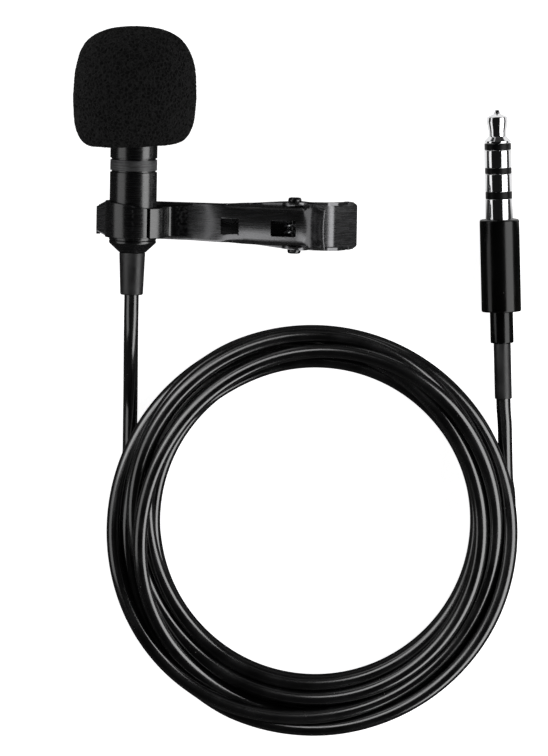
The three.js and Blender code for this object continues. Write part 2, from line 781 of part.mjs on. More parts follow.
// The coil's centreline, counter-clockwise from its left side. Layer by layer it winds in and out
// at a steady rate, and it climbs through the half turn round each reversal.
function coilCentreline() {
  const total = COIL_FIRST_STEPS + (COIL_LAYERS - 1) * COIL_LAYER_STEPS;
  const rate = COIL_PITCH / COIL_STEPS;
  const startR = COIL_OUTER_R - rate * (COIL_LAYER_STEPS - COIL_FIRST_STEPS);
  const innerR = startR - rate * COIL_FIRST_STEPS;
  const climb = COIL_STEPS / 2;
  const spots = [];
  for (let i = 0; i <= total; i += 1) {
    const past = i + COIL_LAYER_STEPS - COIL_FIRST_STEPS;
    const layer = Math.min(Math.floor(past / COIL_LAYER_STEPS), COIL_LAYERS - 1);
    const within = past - layer * COIL_LAYER_STEPS;
    const inward = layer % 2 === 0;
    const radius = inward ? COIL_OUTER_R - rate * within : innerR + rate * within;
    let height = 0;
    for (let k = 1; k < COIL_LAYERS; k += 1) {
      const reversal = k * COIL_LAYER_STEPS;
      height += THREE.MathUtils.clamp((past - reversal) / climb + 0.5, 0, 1);
    }
    const angle = Math.PI + (2 * Math.PI * i) / COIL_STEPS;
    spots.push(new THREE.Vector3(
      COIL_X + radius * Math.cos(angle),
      COIL_Y + radius * Math.sin(angle),
      CORD_BED_Z + COIL_PITCH * height,
    ));
  }
  return spots;
}

function coilWithEnds() {
  const spots = coilCentreline();
  const straight = 2 * CORD_R;
  const first = spots[0].clone();
  const last = spots[spots.length - 1].clone();
  first.y += straight;
  last.y += straight;
  return [first, ...spots, last];
}

function micRoute(coilStart) {
  const x = MIC_X;
  const bed = CORD_BED_Z;
  return points3([
    [x, RELIEF_BACK_Y - MEET / 2, MIC_Z],
    [x, -18.6, MIC_Z],
    [x, -20.2, 7.74],
    [x, -21.8, 7.3],
    [x, -23.4, 6.55],
    [x, -25.0, 5.5],
    [x, -26.6, 4.3],
    [x, -28.2, 3.15],
    [x, -29.8, 2.2],
    [x, -31.4, 1.52],
    [x, -33.2, 1.12],
    [x + 0.01, -35.2, bed + 0.02],
    [x + 0.02, -37.6, bed],
    [x + 0.04, -40.2, bed],
    [x + 0.05, -42.8, bed],
    [coilStart.x, coilStart.y + MEET, coilStart.z],
  ]);
}

function plugRoute(coilEnd, plug) {
  const leave = plug.localToWorld(new THREE.Vector3(0, PLUG_END - MEET / 2, 0));
  const straight = plug.localToWorld(new THREE.Vector3(0, PLUG_END - 1.6, 0));
  return [
    leave,
    straight,
    ...points3([
      [37.58, -33.0, 2.72],
      [37.68, -34.6, 3.1],
      [37.82, -36.2, 3.75],
      [37.97, -37.8, 4.6],
      [38.13, -39.4, 5.55],
      [38.29, -41.0, 6.5],
      [38.44, -42.4, 7.2],
      [38.56, -43.8, 7.68],
    ]),
    new THREE.Vector3(coilEnd.x, coilEnd.y + MEET, coilEnd.z),
  ];
}

function buildCord(plug) {
  const coil = coilWithEnds();
  const coilStart = coil[0];
  const coilEnd = coil[coil.length - 1];
  const toMic = micRoute(coilStart);
  const toPlug = plugRoute(coilEnd, plug);
  place(microphone, 'cord_mic_end', plainTube(toMic, CORD_R, 8, 12), finishes.jacket);
  const loops = tubeAlong(coil, CORD_R, 6, new THREE.Vector3(0, 0, 1));
  place(microphone, 'cord_coil', loops, finishes.jacket);
  place(microphone, 'cord_plug_end', plainTube(toPlug, CORD_R, 8, 8), finishes.jacket);

  const gap = leastGap(resampled(coil, 4), CORD_R, 40);
  const length = pathLength(toMic) + pathLength(coil) + pathLength(toPlug);
  console.log(`cord_coil: least gap to itself ${gap.toFixed(3)} mm`);
  console.log(`cord length from relief to plug ${length.toFixed(0)} mm`);
}

buildMicrophone();
buildClip();
buildCord(buildPlug());

export default microphone;
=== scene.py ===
"""Looks of a lavalier microphone: foam-covered microphone, sprung jaw clip, coiled cord and plug.

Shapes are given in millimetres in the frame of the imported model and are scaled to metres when
their meshes are made.
"""

import sys
import logging
import math
from collections.abc import Callable
from dataclasses import dataclass
from enum import Enum
from functools import cache

import bmesh
import bpy
import numpy as np
from mathutils import Matrix, Vector, noise


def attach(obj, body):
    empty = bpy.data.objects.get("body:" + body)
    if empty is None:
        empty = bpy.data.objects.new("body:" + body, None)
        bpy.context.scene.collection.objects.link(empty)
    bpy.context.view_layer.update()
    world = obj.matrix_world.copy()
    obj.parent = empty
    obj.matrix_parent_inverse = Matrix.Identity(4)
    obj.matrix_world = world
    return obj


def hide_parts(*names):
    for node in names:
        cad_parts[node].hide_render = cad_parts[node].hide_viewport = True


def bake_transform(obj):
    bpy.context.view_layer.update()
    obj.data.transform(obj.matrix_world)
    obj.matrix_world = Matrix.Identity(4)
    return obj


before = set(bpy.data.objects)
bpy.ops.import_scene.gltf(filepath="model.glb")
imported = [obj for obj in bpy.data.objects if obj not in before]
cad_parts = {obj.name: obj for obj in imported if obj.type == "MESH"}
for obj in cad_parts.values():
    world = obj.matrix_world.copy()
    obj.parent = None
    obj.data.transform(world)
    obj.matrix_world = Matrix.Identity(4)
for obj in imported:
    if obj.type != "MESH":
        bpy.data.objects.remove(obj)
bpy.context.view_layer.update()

MM = 0.001
LOG = logging.getLogger("lavalier")

Pair = tuple[float, float]
Point = tuple[float, float, float]

# Where the pieces lie, in millimetres.
MIC_X, MIC_Z = -10.3, 7.8
CLIP_Y = -8.25
PIVOT_X, PIVOT_Z = 10.3, 4.8
CORD_D = 1.85
CORD_BED = 0.95
RELIEF_BACK = -17.15
PLUG_BACK = -23.0


class Body(Enum):
    """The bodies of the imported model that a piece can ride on."""

    MIC = "mic"
    WINDSCREEN = "windscreen"
    CLIP = "clip"
    JAW = "jaw"


class Texture(Enum):
    """The kinds of surface that a finish can have."""

    MOULDED = "moulded"
    TURNED = "turned"
    ROLLED = "rolled"
    FOAM = "foam"
    FIBRE = "fibre"


# ---- shapes -------------------------------------------------------------------------------------


@dataclass(frozen=True)
class Axis:
    """A turning axis along +Y through a point in millimetres, swung about Z by a lean in degrees."""

    x: float
    y: float
    z: float
    lean: float = 0.0

    def matrix(self) -> Matrix:
        """Return the matrix from the axis's own frame to the row frame."""
        turn = Matrix.Rotation(math.radians(self.lean), 4, "Z")
        return Matrix.Translation((self.x, self.y, self.z)) @ turn

    def at(self, y: float, x: float = 0.0) -> Point:
        """Return the point at a station along the axis, x beside it."""
        return tuple(self.matrix() @ Vector((x, y, 0.0)))


MIC_AXIS = Axis(MIC_X, 0.0, MIC_Z)
PLUG_AXIS = Axis(36.47, -7.03, 2.55, 2.35)
PIVOT_AXIS = Axis(PIVOT_X, CLIP_Y, PIVOT_Z)


def smooth(t: np.ndarray | float) -> np.ndarray:
    """Ease from 0 to 1 as t does, level at both ends."""
    t = np.clip(t, 0.0, 1.0)
    return t * t * (3.0 - 2.0 * t)


def bezier(start: Pair, one: Pair, two: Pair, end: Pair, steps: int) -> list[Pair]:
    """Sample a cubic curve.

    Args:
        start: First point.
        one: First control point.
        two: Second control point.
        end: Last point.
        steps: Number of steps along the curve.

    Returns:
        The points after the first one, up to and with the last one.
    """
    made = []
    for i in range(1, steps + 1):
        t = i / steps
        a, b, c, d = (1 - t) ** 3, 3 * t * (1 - t) ** 2, 3 * t * t * (1 - t), t**3
        made.append(tuple(a * p + b * q + c * r + d * s for p, q, r, s in zip(start, one, two, end)))
    return made


def arc(centre: Pair, radius: float, start: float, end: float, steps: int) -> list[Pair]:
    """Sample an arc between two angles in degrees, both ends included."""
    angles = np.radians(np.linspace(start, end, steps + 1))
    return [(centre[0] + radius * math.cos(a), centre[1] + radius * math.sin(a)) for a in angles]


def spaced(line: list[Pair] | np.ndarray, step: float) -> np.ndarray:
    """Place points evenly along a line.

    Args:
        line: The line's points, in two or three dimensions.
        step: About how far apart the new points are.

    Returns:
        The new points, the line's two ends among them.
    """
    points = np.asarray(line, float)
    lengths = np.linalg.norm(np.diff(points, axis=0), axis=1)
    along = np.concatenate([[0.0], np.cumsum(lengths)])
    at = np.linspace(0.0, along[-1], max(2, round(along[-1] / step) + 1))
    return np.stack([np.interp(at, along, column) for column in points.T], axis=1)


# An outline's corner is rounded where it turns by an angle between these two, in radians, and the
# rounding takes no more than this share of the sides beside it.
LEAST_TURN, MOST_TURN = 0.05, 3.1
SIDE_SHARE = 0.48


def rounded(corners: list[tuple], radius: float, steps: int = 4, closed: bool = True) -> list[Pair]:
    """Round the corners of an outline.

    Args:
        corners: Points as (a, b), or (a, b, r) where the corner has its own radius.
        radius: Radius of the other corners.
        steps: Steps round each corner.
        closed: Whether the last point joins the first.

    Returns:
        The outline's points.
    """
    made: list[Pair] = []
    count = len(corners)
    for i, corner in enumerate(corners):
        here = Vector(corner[:2])
        wish = corner[2] if len(corner) > 2 else radius
        if (not closed and i in (0, count - 1)) or wish <= 0.0:
            made.append(tuple(here))
            continue
        before = Vector(corners[i - 1][:2]) - here
        after = Vector(corners[(i + 1) % count][:2]) - here
        turn = math.pi - before.angle(after, 0.0)
        if turn < LEAST_TURN or turn > MOST_TURN:
            made.append(tuple(here))
            continue
        reach = min(wish * math.tan(turn / 2), SIDE_SHARE * before.length, SIDE_SHARE * after.length)
        first, last = here + before.normalized() * reach, here + after.normalized() * reach
        for k in range(steps + 1):
            t = k / steps
            made.append(tuple((1 - t) ** 2 * first + 2 * t * (1 - t) * here + t * t * last))
    return made


def left_of(line: np.ndarray) -> np.ndarray:
    """Find the directions to the left of a line.

    Args:
        line: The line's points, in X and Z.

    Returns:
        A unit direction for each point.
    """
    along = np.gradient(line, axis=0)
    along /= np.linalg.norm(along, axis=1)[:, None]
    return np.stack([-along[:, 1], along[:, 0]], axis=1)


def add_object(name: str, data: bpy.types.ID) -> bpy.types.Object:
    """Add an object to the scene.

    Args:
        name: Name of the object.
        data: Its mesh, curve, light or camera.

    Returns:
        The object.
    """
    made = bpy.data.objects.new(name, data)
    bpy.context.scene.collection.objects.link(made)
    return made


def mesh_piece(name: str, points: np.ndarray, faces: list, sharp: float = 40.0) -> bpy.types.Object:
    """Make an object from points in millimetres.

    Args:
        name: Name of the piece.
        points: The vertices, in millimetres in the row frame.
        faces: The faces, as lists of vertex numbers.
        sharp: Angle in degrees above which an edge shows as an edge.

    Returns:
        The new object, whose place is in its mesh.
    """
    mesh = bpy.data.meshes.new(name)
    mesh.from_pydata((np.asarray(points, float) * MM).tolist(), [], faces)
    mesh.validate()
    mesh.shade_smooth()
    mesh.set_sharp_from_angle(angle=math.radians(sharp))
    return add_object(name, mesh)


def grid_faces(rows: int, columns: int, wrap_rows: bool, wrap_columns: bool) -> list[list[int]]:
    """List the four-sided faces of a grid of vertices numbered row by row.

    Args:
        rows: Number of rows.
        columns: Number of vertices in each row.
        wrap_rows: Whether the last row joins the first.
        wrap_columns: Whether the last vertex of each row joins its first.

    Returns:
        The faces.
    """
    faces = []
    for i in range(rows if wrap_rows else rows - 1):
        for j in range(columns if wrap_columns else columns - 1):
            a, b = i * columns + j, i * columns + (j + 1) % columns
            c, d = ((i + 1) % rows) * columns + (j + 1) % columns, ((i + 1) % rows) * columns + j
            faces.append([a, b, c, d])
    return faces


def turned_points(profile: list[Pair], segments: int) -> tuple[np.ndarray, list[list[int]]]:
    """Turn a profile round the Y axis.

    Args:
        profile: (radius, y) points. Where the first and last lie on the axis the solid is closed
            there, and otherwise the profile closes on itself.
        segments: Sides of the turned solid.

    Returns:
        The vertices and the faces.
    """
    on_axis = profile[0][0] == 0.0
    ring = profile[1:-1] if on_axis else profile
    angles = np.linspace(0.0, 2 * math.pi, segments, endpoint=False)
    radius, along = np.array(ring).T
    points = np.stack([
        np.outer(radius, np.cos(angles)),
        np.repeat(along[:, None], segments, axis=1),
        np.outer(radius, np.sin(angles)),
    ], axis=-1).reshape(-1, 3)
    faces = grid_faces(len(ring), segments, not on_axis, True)
    if on_axis:
        start, end = len(points), len(points) + 1
        points = np.vstack([points, [(0.0, profile[0][1], 0.0), (0.0, profile[-1][1], 0.0)]])
        last = (len(ring) - 1) * segments
        for k in range(segments):
            after = (k + 1) % segments
            faces.append([start, after, k])
            faces.append([end, last + k, last + after])
    return points, faces


def turned(name: str, profile: list[Pair], axis: Axis, segments: int = 96,
           shape: Callable[[np.ndarray], np.ndarray] | None = None) -> bpy.types.Object:
    """Make a turned piece.

    Args:
        name: Name of the piece.
        profile: (radius, y) points, as turned_points takes them.
        axis: The axis that it is turned round.
        segments: Sides of the turned solid.
        shape: A change to the vertices, made in the axis's own frame.

    Returns:
        The new object.
    """
    points, faces = turned_points(profile, segments)
    if shape is not None:
        points = shape(points)
    matrix = np.array(axis.matrix())
    placed = points @ matrix[:3, :3].T + matrix[:3, 3]
    area = sum(a[0] * b[1] - b[0] * a[1] for a, b in zip(profile, profile[1:] + profile[:1]))
    if area > 0.0:
        faces = [face[::-1] for face in faces]
    return mesh_piece(name, placed, faces)


def ring_outline(inner: float, outer: float, back: float, front: float) -> list[Pair]:
    """Return the section of a ring between two radii and two stations."""
    return [(inner, back), (outer, back), (outer, front), (inner, front)]


def evaluated_mesh(piece: bpy.types.Object) -> bpy.types.Mesh:
    """Return a new mesh of a piece, with its curve or its modifiers worked out."""
    graph = bpy.context.evaluated_depsgraph_get()
    return bpy.data.meshes.new_from_object(piece.evaluated_get(graph), depsgraph=graph)


def apply_modifiers(piece: bpy.types.Object, sharp: float = 40.0) -> None:
    """Turn a piece's modifiers into plain mesh and shade it again.

    Args:
        piece: The object with its modifiers.
        sharp: Angle in degrees above which an edge shows as an edge.
    """
    mesh = evaluated_mesh(piece)
    piece.modifiers.clear()
    piece.data = mesh
    mesh.shade_smooth()
    mesh.set_sharp_from_angle(angle=math.radians(sharp))


def cut_away(piece: bpy.types.Object, tools: list[bpy.types.Object]) -> None:
    """Cut tool solids out of a piece and remove the tools.

    Args:
        piece: The piece that is cut.
        tools: The solids that are taken out of it.
    """
    for tool in tools:
        cut = piece.modifiers.new("cut", "BOOLEAN")
        cut.operation = "DIFFERENCE"
        cut.solver = "EXACT"
        cut.object = tool
    apply_modifiers(piece)
    for tool in tools:
        bpy.data.objects.remove(tool)


def soften(piece: bpy.types.Object, width: float) -> None:
    """Round a piece's sharp edges and even out its shading.

    Args:
        piece: The piece.
        width: Width of the rounding in millimetres.
    """
    bevelled_from, shown_from = 38.0, 60.0
    bevel = piece.modifiers.new("edges", "BEVEL")
    bevel.width = width * MM
    bevel.segments = 2
    bevel.limit_method = "ANGLE"
    bevel.angle_limit = math.radians(bevelled_from)
    bevel.use_clamp_overlap = True
    apply_modifiers(piece, shown_from)
    even = piece.modifiers.new("even", "WEIGHTED_NORMAL")
    even.keep_sharp = True


def prism(name: str, start: list[Point], end: list[Point]) -> bpy.types.Object:
    """Make a solid between two outlines that match point by point.

    Args:
        name: Name of the solid.
        start: The outline at one end, which turns left as seen from the other end.
        end: The outline at the other end.

    Returns:
        The solid.
    """
    count = len(start)
    faces = [[i, (i + 1) % count, count + (i + 1) % count, count + i] for i in range(count)]
    faces += [list(range(count))[::-1], list(range(count, 2 * count))]
    return mesh_piece(name, np.array([*start, *end]), faces)


def block(name: str, low: Point, high: Point, round_by: float) -> bpy.types.Object:
    """Make a cutting block with its upright edges rounded.

    Args:
        name: Name of the block.
        low: Its lowest corner in millimetres.
        high: Its highest corner.
        round_by: Radius of its upright edges.

    Returns:
        The block.
    """
    flat = rounded([(low[0], low[1]), (high[0], low[1]), (high[0], high[1]), (low[0], high[1])], round_by)
    return prism(name, [(x, y, low[2]) for x, y in flat], [(x, y, high[2]) for x, y in flat])


def join(piece: bpy.types.Object, other: bpy.types.Object) -> None:
    """Add another object's mesh to a piece's and remove the other.

    Args:
        piece: The piece that stays.
        other: The object that it takes in.
    """
    both = bmesh.new()
    both.from_mesh(piece.data)
    both.from_mesh(other.data)
    both.to_mesh(piece.data)
    both.free()
    bpy.data.objects.remove(other)


def wire(name: str, points: list[Point] | np.ndarray, radius: float, order: int = 3, steps: int = 4,
         roundness: int = 4) -> bpy.types.Object:
    """Make a round wire or cord along points in millimetres.

    Args:
        name: Name of the piece.
        points: The points that its middle line follows.
        radius: Its radius.
        order: Order of the curve: the higher, the smoother.
        steps: Steps between two points.
        roundness: How finely its section is divided.

    Returns:
        The new curve object.
    """
    curve = bpy.data.curves.new(name, "CURVE")
    curve.dimensions = "3D"
    spline = curve.splines.new("NURBS")
    spline.points.add(len(points) - 1)
    spline.points.foreach_set("co", np.c_[np.array(points) * MM, np.ones(len(points))].ravel())
    spline.order_u = order
    spline.use_endpoint_u = True
    spline.resolution_u = steps
    curve.bevel_depth = radius * MM
    curve.bevel_resolution = roundness
    curve.use_fill_caps = True
    return add_object(name, curve)


def as_mesh(piece: bpy.types.Object) -> bpy.types.Object:
    """Turn a curve object into a mesh object of the same name.

    Args:
        piece: The curve object, which is removed.

    Returns:
        The mesh object.
    """
    mesh = evaluated_mesh(piece)
    name = piece.name
    bpy.data.objects.remove(piece)
    mesh.shade_smooth()
    return add_object(name, mesh)


# ---- finishes -----------------------------------------------------------------------------------


class Nodes:
    """A node tree, with short ways to add nodes and link them."""

    def __init__(self, tree: bpy.types.NodeTree) -> None:
        """Keep the tree."""
        self.tree = tree

    def add(self, kind: str, **inputs: object) -> bpy.types.Node:
        """Add a node.

        Args:
            kind: The node's type, without its ShaderNode prefix.
            inputs: Settings by attribute, or inputs by name with _ for a space. A socket is linked
                and anything else is set.

        Returns:
            The new node.
        """
        node = self.tree.nodes.new("ShaderNode" + kind)
        for key, value in inputs.items():
            if hasattr(node, key) and key not in ("inputs", "outputs"):
                setattr(node, key, value)
                continue
            name = key.replace("_", " ")
            socket = node.inputs[int(name[2:])] if name.startswith("in") else node.inputs[name]
            if isinstance(value, bpy.types.NodeSocket):
                self.tree.links.new(value, socket)
            else:
                socket.default_value = value
        return node

    def math(self, operation: str, one: object, two: object = 0.0, clamp: bool = False
             ) -> bpy.types.NodeSocket:
        """Add a math node and return its output."""
        return self.add("Math", operation=operation, use_clamp=clamp, in0=one, in1=two).outputs[0]

    def ramp(self, value: bpy.types.NodeSocket, low: float, high: float, bottom: float = 0.0,
             top: float = 1.0) -> bpy.types.NodeSocket:
        """Map a value from one range to another, held inside it, and return the output."""
        return self.add("MapRange", in0=value, in1=low, in2=high, in3=bottom, in4=top).outputs[0]

    def mix(self, factor: bpy.types.NodeSocket, one: object, two: object) -> bpy.types.NodeSocket:
        """Mix two colours by a factor, each a socket or a plain colour, and return the output."""
        return self.add("Mix", data_type="RGBA", Factor=factor, in6=one, in7=two).outputs[2]


class Group(Nodes):
    """A shader node group that is being filled, with its sockets by name."""

    def __init__(self, name: str, inputs: dict[str, float], outputs: tuple[str, ...]) -> None:
        """Start a group.

        Args:
            name: Name of the group.
            inputs: Its number inputs and their defaults, next to the Position vector.
            outputs: Its number outputs.
        """
        super().__init__(bpy.data.node_groups.new(name, "ShaderNodeTree"))
        sockets = self.tree.interface
        sockets.new_socket("Position", in_out="INPUT", socket_type="NodeSocketVector")
        for key, value in inputs.items():
            socket = sockets.new_socket(key, in_out="INPUT", socket_type="NodeSocketFloat")
            socket.default_value = value
        for key in outputs:
            sockets.new_socket(key, in_out="OUTPUT", socket_type="NodeSocketFloat")
        self.given = self.tree.nodes.new("NodeGroupInput").outputs
        self.result = self.tree.nodes.new("NodeGroupOutput").inputs

    def give(self, name: str, value: bpy.types.NodeSocket) -> None:
        """Send a value out of the group."""
        self.tree.links.new(value, self.result[name])


@cache
def skin_grain() -> bpy.types.NodeTree:
    """Return the group for a moulded or painted skin: its fine grain and its broad soft patches."""
    group = Group("skin_grain", {"Scale": 6.0}, ("Height", "Patches"))
    place, scale = group.given["Position"], group.given["Scale"]
    fine = group.add("TexNoise", Vector=place, Scale=scale, Detail=4.0, Roughness=0.6)
    broad = group.add("TexNoise", Vector=place, Scale=group.math("MULTIPLY", scale, 0.06), Detail=3.0)
    group.give("Height", fine.outputs[0])
    group.give("Patches", group.ramp(broad.outputs[0], 0.35, 0.65))
    return group.tree


@cache
def tool_lines() -> bpy.types.NodeTree:
    """Return the group for the fine lines that a cutting tool or a roller leaves."""
    group = Group("tool_lines", {"Across": 0.4, "Along": 14.0}, ("Height", "Streaks"))
    parts = group.add("SeparateXYZ", Vector=group.given["Position"]).outputs
    across, along = group.given["Across"], group.given["Along"]
    stretched = group.add("CombineXYZ", X=group.math("MULTIPLY", parts["X"], across),
                          Y=group.math("MULTIPLY", parts["Y"], along),
                          Z=group.math("MULTIPLY", parts["Z"], across))
    lines = group.add("TexNoise", Vector=stretched.outputs[0], Scale=1.0, Detail=5.0, Roughness=0.7)
    group.give("Height", lines.outputs[0])
    group.give("Streaks", group.ramp(lines.outputs[0], 0.4, 0.62))
    return group.tree


@cache
def edge_wear() -> bpy.types.NodeTree:
    """Return the group for worn edges, whose mask is 1 where the coating has rubbed off."""
    group = Group("edge_wear", {"Amount": 0.5}, ("Mask",))
    edge = group.ramp(group.add("NewGeometry").outputs["Pointiness"], 0.52, 0.62)
    broken = group.add("TexNoise", Vector=group.given["Position"], Scale=2.5, Detail=6.0)
    both = group.math("MULTIPLY", edge, group.ramp(broken.outputs[0], 0.45, 0.6))
    group.give("Mask", group.math("MULTIPLY", both, group.given["Amount"], clamp=True))
    return group.tree


@cache
def dust_specks() -> bpy.types.NodeTree:
    """Return the group for specks of dust and lint: the middles of a few cells of a cell pattern."""
    group = Group("dust_specks", {"Scale": 1.4, "Density": 0.15}, ("Mask",))
    place, scale = group.given["Position"], group.given["Scale"]
    cells = group.add("TexVoronoi", Vector=place, Scale=scale, Randomness=1.0)
    speck = group.ramp(cells.outputs["Distance"], 0.05, 0.12, 1.0, 0.0)
    chance = group.add("SeparateColor", Color=cells.outputs["Color"])
    few = group.math("GREATER_THAN", group.given["Density"], chance.outputs[0])
    group.give("Mask", group.math("MULTIPLY", speck, few))
    return group.tree


@cache
def open_cells() -> bpy.types.NodeTree:
    """Return the group for open cells and their walls: a bent cell pattern with a finer one in it. Its second
    output is 1 on the walls and 0 in the pits, so a finish's colour comes out lighter on the walls and darker
    in the pits: painted shade in the pits.
    """
    group = Group("foam_cells", {"Scale": 2.4}, ("Height", "Walls"))
    place, scale = group.given["Position"], group.given["Scale"]
    bend = group.add("TexNoise", Vector=place, Scale=3.0, Detail=2.0).outputs["Color"]
    bent = group.add("Mix", data_type="VECTOR", Factor=0.12, in4=place, in5=bend).outputs[1]
    walls = []
    for size in (scale, group.math("MULTIPLY", scale, 2.3)):
        cells = group.add("TexVoronoi", feature="DISTANCE_TO_EDGE", Vector=bent, Scale=size)
        walls.append(group.ramp(cells.outputs["Distance"], 0.02, 0.3, 1.0, 0.0))
    mixed = group.math("ADD", walls[0], group.math("MULTIPLY", walls[1], 0.35))
    group.give("Height", mixed)
    group.give("Walls", group.ramp(mixed, 0.2, 1.1))
    return group.tree


# The colours of worn edges and of dust, how much a speck of dust covers and how much rougher it is,
# and the roughness of a clear coat.
BARE_EDGE = (0.3, 0.3, 0.31)
DUST = (0.25, 0.25, 0.24)
DUST_COVER, DUST_ROUGHER = 0.25, 0.3
COAT_ROUGHNESS = 0.12


@dataclass(frozen=True)
class Finish:
    """One finish: the numbers of its shader and what its surface texture does.

    The texture's depth is in millimetres, and its scales are per millimetre: grain for skins and
    cells, and lines, across and along the axis, for tool marks. Its mask varies the colour by the
    factor tint and the roughness by vary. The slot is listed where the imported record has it.
    """

    slot: str
    texture: Texture
    colour: Point
    roughness: float
    metallic: float = 0.0
    worn: float = 0.0
    grain: float = 6.0
    depth: float = 0.004
    vary: float = 0.08
    tint: float = 1.5
    dust: float = 0.0
    coat: float = 0.0
    specular: float = 0.5
    lines: Pair = (0.4, 14.0)
    listed: bool = True

    def material(self) -> bpy.types.Material:
        """Return the finish's material, and build it the first time."""
        name = "finish_" + self.slot
        return bpy.data.materials.get(name) or self.build(name)

    def build(self, name: str) -> bpy.types.Material:
        """Build the finish's material.

        Args:
            name: Name of the material.

        Returns:
            The material.
        """
        material = bpy.data.materials.new(name)
        material.use_nodes = True
        material.diffuse_color = (*self.colour, 1.0)
        nodes = Nodes(material.node_tree)
        shader = material.node_tree.nodes["Principled BSDF"].inputs
        place = nodes.add("VectorMath", operation="SCALE", Vector=nodes.add("TexCoord").outputs["Object"],
                          Scale=1.0 / MM).outputs[0]
        height, mask = self.texture_of(nodes, place)

        darker = (*(c / self.tint for c in self.colour), 1.0)
        lighter = (*(c * self.tint for c in self.colour), 1.0)
        colour = nodes.mix(mask, darker, lighter)
        rough = nodes.ramp(mask, 0.0, 1.0, self.roughness - self.vary, self.roughness + self.vary)
        if self.worn > 0.0:
            wear = nodes.add("Group", node_tree=edge_wear(), Position=place, Amount=self.worn)
            colour = nodes.mix(wear.outputs["Mask"], colour, (*BARE_EDGE, 1.0))
        if self.dust > 0.0:
            dust = nodes.add("Group", node_tree=dust_specks(), Position=place, Density=self.dust)
            specks = dust.outputs["Mask"]
            colour = nodes.mix(nodes.math("MULTIPLY", specks, DUST_COVER), colour, (*DUST, 1.0))
            rough = nodes.math("ADD", rough, nodes.math("MULTIPLY", specks, DUST_ROUGHER), clamp=True)

        bump = nodes.add("Bump", Strength=1.0, Distance=self.depth * MM, Height=height)
        for made, name in ((colour, "Base Color"), (rough, "Roughness"), (bump.outputs[0], "Normal")):
            nodes.tree.links.new(made, shader[name])
        shader["Metallic"].default_value = self.metallic
        shader["Specular IOR Level"].default_value = self.specular
        shader["Coat Weight"].default_value = self.coat
        shader["Coat Roughness"].default_value = COAT_ROUGHNESS
        return material

    def texture_of(self, nodes: Nodes, place: bpy.types.NodeSocket
                   ) -> tuple[bpy.types.NodeSocket, bpy.types.NodeSocket]:
        """Place the group of the finish's texture.

        Args:
            nodes: The material's nodes.
            place: The place on the object, in millimetres.

        Returns:
            The height and the mask of the texture.
        """
        if self.texture in (Texture.TURNED, Texture.ROLLED):
            across, along = self.lines
            node = nodes.add("Group", node_tree=tool_lines(), Position=place, Across=across, Along=along)
        elif self.texture in (Texture.FOAM, Texture.FIBRE):
            # For foam and fibre the mask is 1 on the cell walls, so the tint darkens the sunken pits: painted
            # shade.
            node = nodes.add("Group", node_tree=open_cells(), Position=place, Scale=self.grain)
        else:
            node = nodes.add("Group", node_tree=skin_grain(), Position=place, Scale=self.grain)
        return node.outputs[0], node.outputs[1]


# The foam's strong tint on its cell mask paints shade into the pits between the cell walls.
FOAM = Finish("foam", Texture.FOAM, (0.0048, 0.0048, 0.0048), 0.95, grain=2.1, depth=0.16,
              vary=0.04, tint=2.8, specular=0.12, dust=0.1)
BLACK_METAL = Finish("black_metal", Texture.TURNED, (0.0025, 0.0025, 0.0028), 0.24, worn=0.15,
                     depth=0.0012, vary=0.05, dust=0.05, specular=1.0)
CLIP_STEEL = Finish("clip_steel", Texture.ROLLED, (0.14, 0.14, 0.144), 0.27, metallic=0.95, worn=0.1,
                    depth=0.0012, vary=0.04, tint=1.12, dust=0.05, lines=(0.5, 7.0))
SATIN = Finish("satin_band", Texture.TURNED, (0.12, 0.12, 0.122), 0.45, metallic=0.6, depth=0.002,
               vary=0.06, tint=1.5, lines=(0.6, 9.0), listed=False)
BARE_STEEL = Finish("bare_steel", Texture.TURNED, (0.55, 0.56, 0.57), 0.25, metallic=1.0,
                    depth=0.002, tint=1.15)
NICKEL = Finish("nickel", Texture.TURNED, (0.86, 0.86, 0.87), 0.09, metallic=1.0, depth=0.0012,
                vary=0.03, tint=1.04, lines=(0.3, 30.0))
BRASS = Finish("brass", Texture.TURNED, (0.6, 0.42, 0.16), 0.28, metallic=1.0, tint=1.2)
ALUMINIUM = Finish("aluminium", Texture.TURNED, (0.7, 0.7, 0.72), 0.32, metallic=1.0, tint=1.15)
RUBBER = Finish("rubber", Texture.MOULDED, (0.007, 0.007, 0.0073), 0.42, grain=9.0, depth=0.006,
                vary=0.06, dust=0.08, specular=0.6)
JACKET = Finish("jacket", Texture.MOULDED, (0.002, 0.002, 0.0022), 0.23, grain=4.0, depth=0.0025,
                vary=0.05, dust=0.08, coat=0.8, specular=1.0)
GLOSS = Finish("gloss_black", Texture.MOULDED, (0.001, 0.001, 0.001), 0.19, grain=3.0,
               depth=0.0015, vary=0.04, dust=0.05, specular=0.4)
INSULATOR = Finish("insulator", Texture.MOULDED, (0.003, 0.003, 0.003), 0.35, grain=8.0, vary=0.05,
                   specular=0.15)
BOARD = Finish("board", Texture.MOULDED, (0.03, 0.16, 0.06), 0.4, grain=5.0, tint=1.3)
FELT = Finish("felt", Texture.FIBRE, (0.03, 0.03, 0.03), 0.95, grain=7.0, depth=0.05, specular=0.1)
RED_WIRE = Finish("red_wire", Texture.MOULDED, (0.45, 0.03, 0.02), 0.4, grain=6.0, tint=1.2)
BARE_WIRE = Finish("bare_wire", Texture.TURNED, (0.75, 0.36, 0.2), 0.3, metallic=1.0, tint=1.2)


def dress(piece: bpy.types.Object, finish: Finish, body: Body | None, replaces: tuple[str, ...] = ()
          ) -> bpy.types.Object:
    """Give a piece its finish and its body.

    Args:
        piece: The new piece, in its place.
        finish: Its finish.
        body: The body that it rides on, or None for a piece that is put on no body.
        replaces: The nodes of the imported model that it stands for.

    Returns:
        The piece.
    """
    piece.data.materials.clear()
    piece.data.materials.append(finish.material())
    if body is not None:
        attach(piece, body.value)
    if replaces:
        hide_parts(*replaces)
    LOG.info("%s: %s on %s", piece.name, finish.slot, body.value if body else "two bodies")
    return piece


